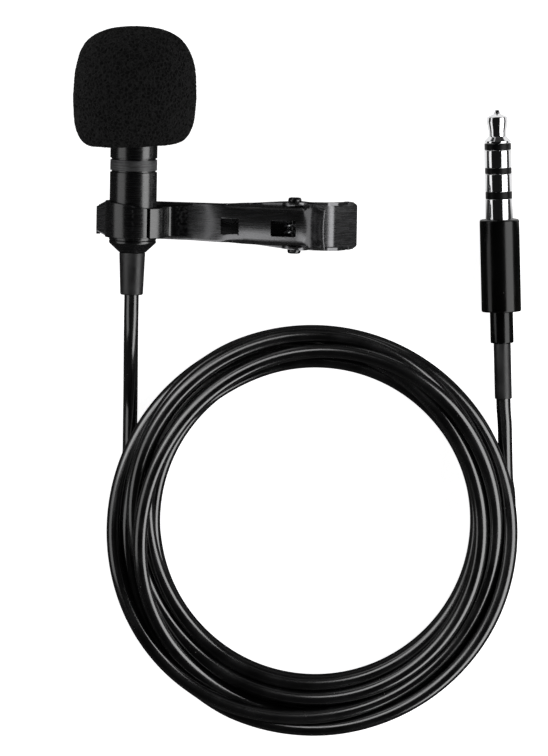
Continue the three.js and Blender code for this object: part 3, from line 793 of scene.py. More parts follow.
def turned_piece(name: str, replaces: tuple[str, ...], outline: list[tuple], axis: Axis, finish: Finish,
                 corner: float = 0.02, steps: int = 4, segments: int = 96, body: Body = Body.MIC
                 ) -> bpy.types.Object:
    """Make a turned piece with rounded corners and dress it.

    Args:
        name: Name of the piece.
        replaces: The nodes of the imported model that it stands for.
        outline: Its section as (radius, y) or (radius, y, corner radius). It starts and ends on the
            axis, or closes on itself.
        axis: The axis that it is turned round.
        finish: Its finish.
        corner: Radius of the corners that have none of their own.
        steps: Steps round each corner.
        segments: Sides of the turned solid.
        body: The body that it rides on.

    Returns:
        The piece.
    """
    profile = rounded(outline, corner, steps, closed=outline[0][0] > 0.0)
    return dress(turned(name, profile, axis, segments), finish, body, replaces)


# ---- cord ---------------------------------------------------------------------------------------


@dataclass
class CoiledCord:
    """The cord: out of the microphone's relief, ten and a half turns in a pile, and up to the plug.

    The turns start apart, each in its own lane of the pile, and are then let down: they keep their
    spacing and their bend, push each other apart and rest on the surface.
    """

    centre: Pair = (13.23, -47.4)
    outer: float = 26.3
    hole: float = 19.85
    hole_shift: Pair = (0.40, 1.24)
    step: float = 1.0
    # Height of a layer before the turns are let down, and how much a turn that changes its lane is
    # raised for each turn under it, in layers.
    layer: float = 2.1
    raised: float = 0.13
    # How many strands lie side by side in each layer of the pile, from the lowest.
    lower_rows: tuple[int, ...] = (4, 3, 4)
    upper_rows: tuple[int, ...] = (3, 2, 3, 2)
    # The angles between which a turn keeps to a lane: at the lower left, the lower right and the top
    # of the picture, in degrees from where the turn starts, and each turn's lane there.
    spans: tuple[Pair, ...] = ((35.0, 62.0), (112.0, 158.0), (216.0, 338.0))
    lanes: tuple[tuple[int, int, int], ...] = (
        (2, 2, 2), (1, 1, 1), (0, 0, 0), (4, 4, 3), (3, 3, 4), (7, 7, 5),
        (5, 5, 9), (8, 8, 6), (6, 10, 7), (10, 9, 8), (9, 6, 8),
    )
    mic_route: tuple[Point, ...] = (
        (-10.3, -16.87, 7.8), (-10.3, -18.6, 7.8), (-10.3, -20.2, 7.74), (-10.3, -21.8, 7.3),
        (-10.3, -23.4, 6.55), (-10.3, -25.0, 5.5), (-10.3, -26.6, 4.3), (-10.3, -28.2, 3.15),
        (-10.3, -29.8, 2.2), (-10.3, -31.4, 1.52), (-10.3, -33.2, 1.12), (-10.29, -35.2, 0.97),
        (-10.28, -37.6, 0.95), (-10.26, -40.2, 0.95), (-10.25, -42.8, 0.95),
    )
    plug_route: tuple[Point, ...] = (
        (37.64, -33.0, 2.7), (37.7, -34.6, 2.75), (37.76, -36.2, 2.8), (37.82, -37.8, 2.85),
        (37.89, -39.4, 2.9), (37.98, -41.0, 2.95), (38.1, -42.4, 3.0),
    )
    settle_steps: int = 1200
    # The lengths that are held in place at the two ends.
    held_mic: float = 24.0
    held_plug: float = 12.0
    # The pile starts at this height above its middle, in the picture, and its walls hold all of it
    # but so many points at its start and at its end.
    pile_top: float = 4.4
    run_in: int = 10
    run_out: int = 3

    @property
    def middle(self) -> float:
        """Return the radius of the middle of the pile."""
        return (self.outer + self.hole) / 2

    def hole_edge(self, angle: np.ndarray) -> np.ndarray:
        """Find how near a strand's middle may come to the pile's, for the hole's shifted circle.

        Args:
            angle: The angles round the pile's middle, in radians.

        Returns:
            The least radius at each angle.
        """
        reach = self.hole + CORD_D / 2
        shift = np.array(self.hole_shift)
        toward = np.cos(angle) * shift[0] + np.sin(angle) * shift[1]
        return toward + np.sqrt(reach**2 - shift @ shift + toward**2)

    @staticmethod
    def lane_place(rows: tuple[int, ...], lane: int) -> Pair:
        """Find where a lane lies in the pile.

        Args:
            rows: How many lanes each layer has.
            lane: The lane's number, counted from the lowest layer.

        Returns:
            Its place across the pile, from 0 to 1, and its layer.
        """
        widest = max(rows)
        for row, count in enumerate(rows):
            if lane < count:
                return (lane + (widest - count) / 2) / (widest - 1), float(row)
            lane -= count
        raise ValueError("the pile has no such lane")

    def raised_turns(self) -> np.ndarray:
        """Return the turns' points before they are let down."""
        stations = []
        rows = (self.lower_rows, self.lower_rows, self.upper_rows)
        for turn, lanes in enumerate(self.lanes):
            for span, layers, lane in zip(self.spans, rows, lanes):
                place = self.lane_place(layers, lane)
                stations += [(180.0 + 360.0 * turn + angle, *place, turn) for angle in span]
        angle_at, across_at, row_at, turn_at = np.array(stations, float).T
        turns = len(self.lanes) - 0.5
        count = round(2 * math.pi * self.middle * turns / self.step)
        angle = np.linspace(180.0, 180.0 + 360.0 * turns, count)
        before = np.clip(np.searchsorted(angle_at, angle) - 1, 0, len(angle_at) - 2)
        after = before + 1
        share = np.clip((angle - angle_at[before]) / (angle_at[after] - angle_at[before]), 0.0, 1.0)
        ease = smooth(share)
        across = across_at[before] + ease * (across_at[after] - across_at[before])
        row = row_at[before] + ease * (row_at[after] - row_at[before])
        moving = np.abs(across_at[after] - across_at[before]) > 1e-6
        lift = np.where(moving, np.sin(np.pi * share), 0.0) * turn_at[before] * self.raised
        turn = np.radians(angle)
        inner = self.hole_edge(turn)
        radius = inner + across * (self.outer - CORD_D / 2 - inner)
        return np.stack([
            self.centre[0] + radius * np.cos(turn),
            self.centre[1] + radius * np.sin(turn),
            CORD_BED + (row + lift) * self.layer,
        ], axis=1)

    @staticmethod
    def curve_through(points: list[Point], steps: int = 8) -> np.ndarray:
        """Sample a smooth curve through given points.

        Args:
            points: The points.
            steps: Steps between two of them.

        Returns:
            The curve's points.
        """
        p = np.array(points, float)
        made = []
        for i in range(len(p) - 1):
            a, b, c, d = p[max(i - 1, 0)], p[i], p[i + 1], p[min(i + 2, len(p) - 1)]
            for t in np.linspace(0.0, 1.0, steps, endpoint=False):
                made.append(0.5 * (2 * b + (c - a) * t + (2 * a - 5 * b + 4 * c - d) * t**2
                                   + (3 * b - a - 3 * c + d) * t**3))
        return np.array([*made, p[-1]])

    def start_line(self) -> np.ndarray:
        """Return the whole cord's points before it is let down, from the microphone to the plug."""
        plug_end = [PLUG_AXIS.at(PLUG_BACK + 0.29), PLUG_AXIS.at(PLUG_BACK - 1.6)]
        to_plug = self.curve_through([*plug_end, *self.plug_route])[::-1]
        to_mic = self.curve_through(list(self.mic_route))
        return spaced(np.concatenate([to_mic, self.raised_turns(), to_plug]), self.step)

    def settled(self) -> np.ndarray:
        """Return the cord's points after it has been let down."""
        line = self.start_line()
        count = len(line)
        order = np.arange(count)
        free = np.ones(count)
        free[: round(self.held_mic / self.step)] = 0.0
        free[-round(self.held_plug / self.step):] = 0.0
        low = np.flatnonzero(line[:, 1] < self.centre[1] + self.pile_top)
        in_pile = (order >= low[0]) & (order <= low[-1])
        walled = (order >= low[0] + self.run_in) & (order <= low[-1] - self.run_out)
        spacing = float(np.linalg.norm(np.diff(line, axis=0), axis=1).mean())
        pile = StrandPile(line, free, in_pile, walled, self, spacing)
        steps = self.settle_steps
        return pile.let_down(steps)

    def build(self, with_pieces: list[bpy.types.Object]) -> None:
        """Args:
            with_pieces: The plug's pieces. Not used.
        """
        line = self.settled()
        cord = wire("cord", line, CORD_D / 2, order=4, steps=2, roundness=6)
        dress(cord, JACKET, Body.MIC, ("cord_mic_end", "cord_coil", "cord_plug_end"))
        length = float(np.linalg.norm(np.diff(line, axis=0), axis=1).sum())
        LOG.info("cord: %.0f mm long, %.1f mm at its highest", length, line[:, 2].max())


@dataclass
class StrandPile:
    """Points along one strand that are let down onto a surface, step by step.

    Each point is free by 1 or held by 0. The walls of the pile's hole hold the points in the pile,
    and its outer wall those that are walled. A point falls a little at each step, and only a share
    of that, gentle, in the last part of the steps. Pairs of points that are nearer than near, in
    diameters, are looked for now and then, past a few neighbours. Bows of several reaches are
    evened out, each by its share.
    """

    points: np.ndarray
    free: np.ndarray
    in_pile: np.ndarray
    walled: np.ndarray
    cord: CoiledCord
    spacing: float
    fall: float = 0.012
    gentle: float = 0.3
    gentle_from: float = 0.8
    near: float = 1.5
    look_every: int = 5
    skip: int = 5
    bends: tuple[tuple[int, float], ...] = ((1, 0.25), (2, 0.25), (4, 0.3), (9, 0.2))

    def near_pairs(self, reach: float) -> tuple[np.ndarray, np.ndarray]:
        """Find the points that are close together but not neighbours along the strand.

        Args:
            reach: How far apart they may be.

        Returns:
            The first and the second point of each pair.
        """
        p = self.points
        cell = np.floor(p / reach).astype(np.int64)
        cell -= cell.min(axis=0) - 1
        size = cell.max(axis=0) + 2
        code = (cell[:, 0] * size[1] + cell[:, 1]) * size[2] + cell[:, 2]
        order = np.argsort(code, kind="stable")
        in_order = code[order]
        firsts, seconds = [], []
        for x in (-1, 0, 1):
            for y in (-1, 0, 1):
                for z in (-1, 0, 1):
                    wanted = code + (x * size[1] + y) * size[2] + z
                    low = np.searchsorted(in_order, wanted, "left")
                    count = np.searchsorted(in_order, wanted, "right") - low
                    first = np.repeat(np.arange(len(p)), count)
                    within = np.arange(count.sum()) - np.repeat(np.cumsum(count) - count, count)
                    second = order[np.repeat(low, count) + within]
                    apart = second > first + self.skip
                    firsts.append(first[apart])
                    seconds.append(second[apart])
        first, second = np.concatenate(firsts), np.concatenate(seconds)
        close = np.linalg.norm(p[first] - p[second], axis=1) < reach
        return first[close], second[close]

    def push_apart(self, one: np.ndarray, other: np.ndarray) -> None:
        """Push points out of the stretches of strand that start at other points.

        Args:
            one: The points.
            other: The stretches, by their first point.
        """
        p, free, count = self.points, self.free, len(self.points)
        after = np.minimum(other + 1, count - 1)
        stretch = p[after] - p[other]
        share = ((p[one] - p[other]) * stretch).sum(1) / np.maximum((stretch**2).sum(1), 1e-9)
        share = np.clip(share, 0.0, 1.0)
        away = p[one] - p[other] - share[:, None] * stretch
        gap = np.sqrt((away**2).sum(1))
        hit = gap < CORD_D
        one, other, after, share, away, gap = (a[hit] for a in (one, other, after, share, away, gap))
        give = free[one] + free[other] * (1 - share) ** 2 + free[after] * share**2
        push = ((CORD_D - gap) / np.maximum(give, 1e-6) / np.maximum(gap, 1e-6))[:, None] * away
        spots = np.concatenate([one, other, after])
        weight = np.concatenate([free[one], -free[other] * (1 - share), -free[after] * share])
        moves = np.concatenate([push, push, push]) * weight[:, None]
        total = [np.bincount(spots, weights=move, minlength=count) for move in moves.T]
        shared = np.bincount(spots, weights=np.abs(weight), minlength=count)
        p += np.stack(total, axis=1) / np.maximum(shared, 1.0)[:, None]

    def keep_spacing(self) -> None:
        """Bring neighbouring points back to their spacing along the strand."""
        p, free, count = self.points, self.free, len(self.points)
        for start in (0, 1, 0, 1):
            a = np.arange(start, count - 1, 2)
            b = a + 1
            gap = p[b] - p[a]
            length = np.sqrt((gap**2).sum(1))
            give = np.maximum(free[a] + free[b], 1e-9) * np.maximum(length, 1e-9)
            move = ((length - self.spacing) / give)[:, None] * gap
            p[a] += move * free[a][:, None]
            p[b] -= move * free[b][:, None]

    def keep_bend(self) -> None:
        """Even out how much the strand bows from place to place, so that a round turn stays as it is."""
        p = self.points
        for reach, stiff in self.bends:
            bow = p[reach:-reach] - (p[: -2 * reach] + p[2 * reach:]) / 2
            wide = np.pad(bow, ((reach, reach), (0, 0)), mode="edge")
            sums = np.cumsum(np.vstack([np.zeros(3), wide]), axis=0)
            turn = reach * self.spacing / self.cord.middle
            round_bow = turn / math.sin(turn) / (2 * reach + 1)
            even = (sums[2 * reach + 1:] - sums[: -2 * reach - 1]) * round_bow
            p[reach:-reach] += (even - bow) * stiff * self.free[reach:-reach][:, None]

    def keep_inside(self) -> None:
        """Hold the pile between its outer edge and its hole, and above the surface."""
        p = self.points
        middle = np.array(self.cord.centre)
        limit = self.cord.outer - CORD_D / 2
        from_middle = p[:, :2] - middle
        radius = np.sqrt((from_middle**2).sum(1))
        out = self.walled & (radius > limit)
        p[out, :2] += from_middle[out] * ((limit - radius[out]) / radius[out])[:, None]
        least = self.cord.hole + CORD_D / 2
        from_hole = p[:, :2] - middle - np.array(self.cord.hole_shift)
        radius = np.sqrt((from_hole**2).sum(1))
        out = self.in_pile & (radius < least)
        p[out, :2] += from_hole[out] * ((least - radius[out]) / radius[out])[:, None]
        p[:, 2] = np.maximum(p[:, 2], CORD_BED)

    def let_down(self, steps: int) -> np.ndarray:
        """Let the strand down.

        Args:
            steps: Number of steps.

        Returns:
            Its points at rest.
        """
        for step in range(steps):
            easing = 1.0 if step < self.gentle_from * steps else self.gentle
            self.points[:, 2] -= self.fall * easing * self.free
            if step % self.look_every == 0:
                first, second = self.near_pairs(self.near * CORD_D)
            self.push_apart(first, second)
            self.push_apart(second, first)
            self.keep_spacing()
            self.keep_bend()
            self.keep_inside()
        return self.points


# ---- studio -------------------------------------------------------------------------------------


@dataclass
class Studio:
    """The pale floor, the soft lights and the camera.

    The camera looks at one point from a distance, tilted off the vertical, and the picture is turned
    by roll, both in degrees. The lights are aimed at another point. The floor's tone varies over
    the range paper, and paper_light is its own light. Its card fades between the two radii of
    card_edge. Mirrored gives how bright the card and the rest of the floor are in shiny pieces, and
    sky how bright the surround is at the horizon and overhead. The panels that light only some
    pieces have the linked size.
    """

    pixels_per_mm: float = 7.82
    picture: tuple[int, int] = (548, 756)
    looked_at: Point = (8.03, -27.86, 3.0)
    distance: float = 1500.0
    tilt: float = 4.5
    roll: float = 1.0
    aim: Point = (13.0, -30.0, 3.0)
    floor_half: float = 1500.0
    card: Point = (38.5, 8.0, 0.0)
    card_edge: Pair = (13.0, 17.0)
    mirrored: Pair = (0.9, 0.03)
    paper: Pair = (0.9, 0.94)
    paper_light: float = 0.95
    sky: Pair = (0.04, 0.008)
    linked_size: Pair = (400.0, 150.0)

    def camera(self) -> None:
        """Place the camera above the set, a little towards the microphone's head."""
        data = bpy.data.cameras.new("camera")
        data.sensor_width = 36.0
        data.lens = data.sensor_width * self.distance * self.pixels_per_mm / max(self.picture)
        data.clip_start, data.clip_end = 0.01, 10.0
        tilt, roll = math.radians(self.tilt), math.radians(self.roll)
        back = Vector((0.0, math.sin(tilt), math.cos(tilt)))
        flat_up = Vector((0.0, math.cos(tilt), -math.sin(tilt)))
        flat_right = Vector((1.0, 0.0, 0.0))
        right = math.cos(roll) * flat_right + math.sin(roll) * flat_up
        camera = add_object("camera", data)
        turn = Matrix((right, back.cross(right), back)).transposed().to_4x4()
        place = Vector(self.looked_at) + back * self.distance
        camera.matrix_world = Matrix.Translation(place * MM) @ turn
        bpy.context.scene.camera = camera

    def light(self, name: str, place: Point, aim: Point, size: Pair, radiance: float) -> bpy.types.Object:
        """Add a soft rectangular light.

        Args:
            name: Name of the light.
            place: Its middle, in millimetres.
            aim: The point that it faces.
            size: Its width across and its length along Y, in millimetres.
            radiance: How bright its face is.

        Returns:
            The light.
        """
        data = bpy.data.lights.new(name, "AREA")
        data.shape = "RECTANGLE"
        data.size, data.size_y = size[0] * MM, size[1] * MM
        data.energy = radiance * math.pi * data.size * data.size_y
        lamp = add_object(name, data)
        back = (Vector(place) - Vector(aim)).normalized()
        side = Vector((0.0, 1.0, 0.0)).cross(back).normalized()
        turn = Matrix((side, back.cross(side), back)).transposed().to_4x4()
        lamp.matrix_world = Matrix.Translation(Vector(place) * MM) @ turn
        return lamp

    def panel_for(self, name: str, place: Point, radiance: float, pieces: tuple[str, ...]) -> None:
        """Add a panel that lights only some pieces, as if the rest were screened off from it.

        Args:
            name: Name of the panel.
            place: Its middle, in millimetres.
            radiance: How bright its face is.
            pieces: Names of the pieces that it lights.
        """
        panel = self.light(name, place, self.aim, self.linked_size, radiance)
        lit = bpy.data.collections.new("lit_by_" + name)
        for piece in pieces:
            lit.objects.link(bpy.data.objects[piece])
        panel.light_linking.receiver_collection = lit

    def floor(self) -> None:
        """Lay the plain pale floor.

        What shiny pieces mirror is a dim floor instead, with a white card beside the plug's contacts.
        """
        half, low = self.floor_half, -0.02
        corners = np.array([(-half, -half, low), (half, -half, low), (half, half, low), (-half, half, low)])
        floor = mesh_piece("floor", corners, [[0, 1, 2, 3]])
        material = bpy.data.materials.new("floor_paper")
        material.use_nodes = True
        nodes = Nodes(material.node_tree)
        shader = material.node_tree.nodes["Principled BSDF"]
        place = nodes.add("TexCoord").outputs["Object"]
        fibre = nodes.add("TexNoise", Vector=place, Scale=900.0, Detail=3.0)
        tone = nodes.ramp(fibre.outputs[0], 0.3, 0.7, *self.paper)
        paper = nodes.add("CombineColor", Red=tone, Green=tone, Blue=tone).outputs[0]
        nodes.tree.links.new(paper, shader.inputs["Base Color"])
        shader.inputs["Roughness"].default_value = 0.9
        shader.inputs["Specular IOR Level"].default_value = 0.1
        shader.inputs["Emission Color"].default_value = (1.0, 1.0, 1.0, 1.0)
        shader.inputs["Emission Strength"].default_value = self.paper_light
        card_at = tuple(c * MM for c in self.card)
        card = nodes.add("VectorMath", operation="DISTANCE", in0=place, in1=card_at).outputs["Value"]
        inside, outside = (radius * MM for radius in self.card_edge)
        dim = nodes.add("Emission", Strength=nodes.ramp(card, inside, outside, *self.mirrored))
        in_mirror = nodes.add("LightPath").outputs["Is Glossy Ray"]
        both = nodes.add("MixShader", in0=in_mirror, in1=shader.outputs[0], in2=dim.outputs[0])
        output = material.node_tree.nodes["Material Output"]
        nodes.tree.links.new(both.outputs[0], output.inputs["Surface"])
        material.cycles.emission_sampling = "NONE"
        floor.data.materials.append(material)

    def world(self) -> None:
        """Surround the set with a sky that is dark overhead and pale at the horizon."""
        world = bpy.data.worlds.new("studio")
        world.use_nodes = True
        nodes = Nodes(world.node_tree)
        background = world.node_tree.nodes["Background"]
        direction = nodes.add("SeparateXYZ", Vector=nodes.add("TexCoord").outputs["Generated"])
        height = nodes.ramp(direction.outputs["Z"], 0.0, 0.5, *self.sky)
        seen = nodes.add("LightPath").outputs["Is Camera Ray"]
        nodes.tree.links.new(nodes.math("MAXIMUM", height, seen), background.inputs["Strength"])
        background.inputs["Color"].default_value = (1.0, 1.0, 1.0, 1.0)
        bpy.context.scene.world = world

    def build(self) -> None:
        """Set up the camera, the floor, the lights and plain colour handling."""
        self.camera()
        self.floor()
        self.world()
        self.light("strip_right", (134.0, -140.0, 76.0), (13.0, -140.0, 3.0), (104.0, 400.0), 3.0)
        self.light("strip_left", (-63.0, 130.0, 38.0), (-10.0, 130.0, 7.0), (44.0, 400.0), 1.0)
        self.light("panel_head", (13.0, 330.0, 190.0), self.aim, (420.0, 120.0), 0.12)
        view = bpy.context.scene.view_settings
        view.view_transform = "Standard"
        view.look = "None"
        view.exposure = 0.0
        view.gamma = 1.0


# ---- windscreen ---------------------------------------------------------------------------------


@dataclass
class Windscreen:
    """The foam windscreen: a soft dome of open cells with a bore for the tube.

    Its skin has cells with pits between them, finer ones among them that take their share of the
    pits' depth, and it swells a little from place to place. Its back lies askew, in degrees.
    """

    radius: float = 7.95
    back: float = 1.85
    front: float = 17.15
    widest: float = 8.0
    askew: float = 2.7
    bore: float = 3.1
    bore_front: float = 12.2
    row: float = 0.13
    cell: float = 0.5
    fine_cell: float = 0.225
    fine_share: float = 0.25
    pit: float = 0.2
    swell: float = 0.12
    swell_size: float = 2.6

    def profile(self) -> list[Pair]:
        """Return the section's outline, from the axis inside the bore round to the axis in front."""
        r, flat, lip, step = self.radius, 5.0, 0.4, 0.7
        lower = bezier((flat, self.back), (7.1, self.back), (r, 4.0), (r, self.widest), 24)
        upper = bezier((r, self.widest), (r, 14.8), (6.2, self.front), (0.0, self.front), 40)
        mouth = arc((self.bore + lip, self.back + lip), lip, 180.0, 270.0, 5)
        outside = spaced([*mouth, (flat, self.back), *lower, *upper], self.row)
        end = self.bore_front
        inside = spaced([(0.0, end), (self.bore - step, end), (self.bore, end - step)], 0.4)
        line = [*map(tuple, inside), *map(tuple, outside)]
        line[-1] = (0.0, self.front)
        return line

    def depth_at(self, spot: Vector) -> float:
        """Find how far the skin lies below its even shape.

        Args:
            spot: The place in millimetres.

        Returns:
            The depth in millimetres.
        """
        depths = []
        for size in (self.cell, self.fine_cell):
            near = noise.voronoi(spot / size)[0]
            depths.append(min(1.0, (near[1] - near[0]) * 2.0))
        pits = (1.0 - self.fine_share) * depths[0] + self.fine_share * depths[1]
        broad = 0.5 + 0.5 * noise.noise(spot / self.swell_size)
        return self.pit * pits + self.swell * broad

    def lean_over(self, points: np.ndarray) -> np.ndarray:
        """Push the foam's back a little further on at its right side, as it sits askew on the tube.

        Args:
            points: The foam's points in its axis's frame, which are moved.

        Returns:
            The same points.
        """
        share = 1.0 - smooth((points[:, 1] - self.back) / (self.front - self.back))
        points[:, 1] += points[:, 0] * math.tan(math.radians(self.askew)) * share
        return points

    def build(self) -> None:
        """Make the windscreen and dress it."""
        foam = turned("windscreen", self.profile(), MIC_AXIS, 360, self.lean_over)
        mesh = foam.data
        count = len(mesh.vertices)
        spots, normals = np.empty(3 * count), np.empty(3 * count)
        mesh.vertices.foreach_get("co", spots)
        mesh.vertex_normals.foreach_get("vector", normals)
        spots, normals = spots.reshape(-1, 3), normals.reshape(-1, 3)
        local = spots / MM - np.array([MIC_X, 0.0, MIC_Z])
        radius = np.hypot(local[:, 0], local[:, 2])
        inside = (radius < self.bore + 0.02) & (local[:, 1] < self.bore_front + 0.1)
        depth = [0.0 if hidden else self.depth_at(Vector(spot)) for spot, hidden in zip(local, inside)]
        spots -= normals * np.array(depth)[:, None] * MM
        mesh.vertices.foreach_set("co", spots.ravel())
        mesh.set_sharp_from_angle(angle=math.radians(180.0))
        dress(foam, FOAM, Body.WINDSCREEN, ("foam_windscreen",))


# ---- microphone ---------------------------------------------------------------------------------


@dataclass
class MicBody:
    """The turned tube with its grille, its tail and what they hold.

    Fronts and backs are stations along the tube's axis. The others are radii, apart from the gap
    between pieces and the groove, which sets the depth and the width of the band's groove.
    """

    outer: float = 3.0
    bore: float = 2.55
    front: float = 10.6
    back: float = -10.15
    band_front: float = 0.1
    band_back: float = -1.25
    band_ridges: int = 8
    groove: float = 0.1
    gap: float = 0.06
    grille_hole: float = 0.36
    grille_ring: float = 1.35
    cone_back: float = -11.7
    relief: float = 1.66
    relief_end: float = 1.45
    neck: float = 1.3
    capsule: float = 2.2
    capsule_back: float = 6.8
    capsule_front: float = 9.0
    seat_back: float = 6.6
    seat_front: float = 9.3
    felt: float = 2.45
    felt_back: float = 9.75
    felt_front: float = 10.4
    board: float = 1.95
    board_back: float = 6.15
    wire: float = 0.25
    ferrule: float = 1.6

    def tube(self) -> None:
        """Make the tube, with a groove for its band."""
        r, g = self.outer, self.groove
        outline = [
            (self.bore, self.back), (r, self.back, 0.08),
            (r, self.band_back - 2.4 * g, 0.04), (r - 2 * g, self.band_back - 1.8 * g),
            (r - 2 * g, self.band_front + 1.8 * g),
            (r, self.band_front + 2.4 * g, 0.04), (r, self.front, 0.22), (self.bore, self.front, 0.06),
        ]
        turned_piece("tube", ("mic_tube",), outline, MIC_AXIS, BLACK_METAL, steps=3, segments=128)

    def band(self) -> None:
        """Make the finely turned band that is set into the tube's groove."""
        r, inner = self.outer, self.outer - 1.7 * self.groove
        pitch = (self.band_front - self.band_back) / self.band_ridges
        outline = [(inner, self.band_back), (r - 0.05, self.band_back, 0.03)]
        for k in range(self.band_ridges):
            start = self.band_back + k * pitch
            outline += [(r - 0.035, start + 0.1 * pitch)]
            outline += [(r, start + 0.3 * pitch), (r, start + 0.7 * pitch)]
        outline += [(r - 0.05, self.band_front, 0.03), (inner, self.band_front)]
        turned_piece("turned_band", (), outline, MIC_AXIS, SATIN, corner=0.01, steps=2, segments=128)

    def grille(self) -> None:
        """Make the cap in front of the capsule, with one hole in its middle and six round it."""
        back = self.front + self.gap
        outline = [
            (0.0, back), (self.outer, back, 0.05), (self.outer, back + 0.6, 0.2),
            (self.outer - 0.5, back + 1.1, 0.3), (0.0, back + 1.25),
        ]
        cap = turned("grille", rounded(outline, 0.1, closed=False), MIC_AXIS)
        reach = self.grille_ring
        holes = [(0.0, 0.0)]
        holes += [(reach * math.cos(k * math.pi / 3), reach * math.sin(k * math.pi / 3)) for k in range(6)]
        r, under, over = self.grille_hole, back - 1.0, back + 3.0
        drill = [(0.0, under), (r, under), (r, over), (0.0, over)]
        cut_away(cap, [turned("drill", drill, Axis(MIC_X + x, 0.0, MIC_Z + z), 24) for x, z in holes])
        soften(cap, 0.05)
        dress(cap, BARE_STEEL, Body.MIC, ("front_grille",))

    def tail(self) -> None:
        """Make the cone that closes the tube's back."""
        spigot, front = self.bore - self.gap, self.back - self.gap
        outline = [
            (self.neck, self.cone_back), (self.relief + self.gap, self.cone_back, 0.08),
            (self.outer, self.back - 0.35, 0.3), (self.outer, front, 0.05), (spigot, front),
            (spigot, self.back + 1.6, 0.1), (self.neck, self.back + 1.6),
        ]
        turned_piece("tail", ("tail_cone",), outline, MIC_AXIS, BLACK_METAL, corner=0.03, segments=112)

    def strain_relief(self) -> None:
        """Make the soft sleeve that the cord leaves by."""
        inner, neck = CORD_D / 2 + self.gap, self.neck - self.gap
        step = self.cone_back - self.gap
        outline = [
            (inner, RELIEF_BACK, 0.05), (self.relief_end, RELIEF_BACK, 0.28), (self.relief, step, 0.1),
            (neck, step), (neck, self.back + 1.4, 0.1), (inner, self.back + 1.4),
        ]
        turned_piece("strain_relief", ("mic_strain_relief",), outline, MIC_AXIS, RUBBER, corner=0.03)

    def capsule_parts(self) -> None:
        """Make the capsule in its seat, with its felt and its board."""
        r, rim, crimp, port = self.capsule, self.capsule_front, 0.35, 0.5
        can = [
            (0.0, self.capsule_back), (r, self.capsule_back, 0.1), (r, rim, 0.18), (r - crimp, rim, 0.06),
            (r - crimp, rim - 0.1), (port, rim - 0.1, 0.04), (port, rim - 0.5), (0.0, rim - 0.5),
        ]
        turned_piece("capsule", ("capsule_can",), can, MIC_AXIS, ALUMINIUM, segments=80)
        inner, outer = r + self.gap, self.bore - self.gap
        back, front, lip = self.seat_back, self.seat_front, 0.08
        seat = [
            (inner, back), (outer, back, 0.06), (outer, back + 0.8), (outer - lip, back + 0.9),
            (outer - lip, front - 0.9), (outer, front - 0.8), (outer, front, 0.06), (inner, front, 0.06),
        ]
        turned_piece("capsule_seat", ("capsule_gasket",), seat, MIC_AXIS, RUBBER, segments=80)
        r, back, front = self.felt, self.felt_back, self.felt_front
        felt = [(0.0, back), (r, back, 0.15), (r, front, 0.2), (0.0, front)]
        turned_piece("dust_felt", ("dust_screen",), felt, MIC_AXIS, FELT, corner=0.1, segments=80)
        r, back, front = self.board, self.board_back, self.capsule_back - self.gap
        disc = [(0.0, back), (r, back, 0.04), (r, front, 0.04), (0.0, front)]
        turned_piece("board", ("capsule_board",), disc, MIC_AXIS, BOARD, steps=3, segments=64)

    def cord_end(self) -> None:
        """Make the cord's end inside the tail, its ferrule and its two wires."""
        front = self.back + 2.6
        for name, node, side, finish in (
            ("red_wire", "signal_wire", 0.9, RED_WIRE),
            ("shield_wire", "ground_wire", -0.9, BARE_WIRE),
        ):
            route = [
                (side, 6.0, 0.2), (side, 4.6, 0.2), (side * 1.2, 0.5, 0.35), (side * 1.2, -3.2, 0.35),
                (side * 0.55, front + 0.9, 0.0), (side * 0.55, front + 0.3, 0.0),
            ]
            placed = [(*MIC_AXIS.at(y, x)[:2], MIC_Z + z) for x, y, z in route]
            dress(wire(name, placed, self.wire), finish, Body.MIC, (node,))
        r, back = CORD_D / 2, RELIEF_BACK + 0.3
        end = [(0.0, back), (r, back, 0.05), (r, front, 0.15), (0.0, front)]
        turned_piece("cord_end", ("cord_core_end",), end, MIC_AXIS, JACKET, corner=0.05, segments=64)
        r, inner, back, rib = self.ferrule, CORD_D / 2 + self.gap, self.back + 1.66, 0.12
        ferrule = [
            (inner, back), (r, back, 0.05), (r, back + 0.35), (r - rib, back + 0.42),
            (r - rib, front - 0.42), (r, front - 0.35), (r, front, 0.05), (inner, front),
        ]
        turned_piece("ferrule", ("cord_ferrule",), ferrule, MIC_AXIS, BRASS, segments=64)

    def build(self) -> None:
        """Make every piece of the microphone's body."""
        self.tube()
        self.band()
        self.grille()
        self.tail()
        self.strain_relief()
        self.capsule_parts()
        self.cord_end()


# ---- clip ---------------------------------------------------------------------------------------


@dataclass(frozen=True)
class Flange:
    """A side of a sheet that is folded up out of it: where it starts and ends, and its free edge."""

    start: float
    end: float
    edge: list[Pair]


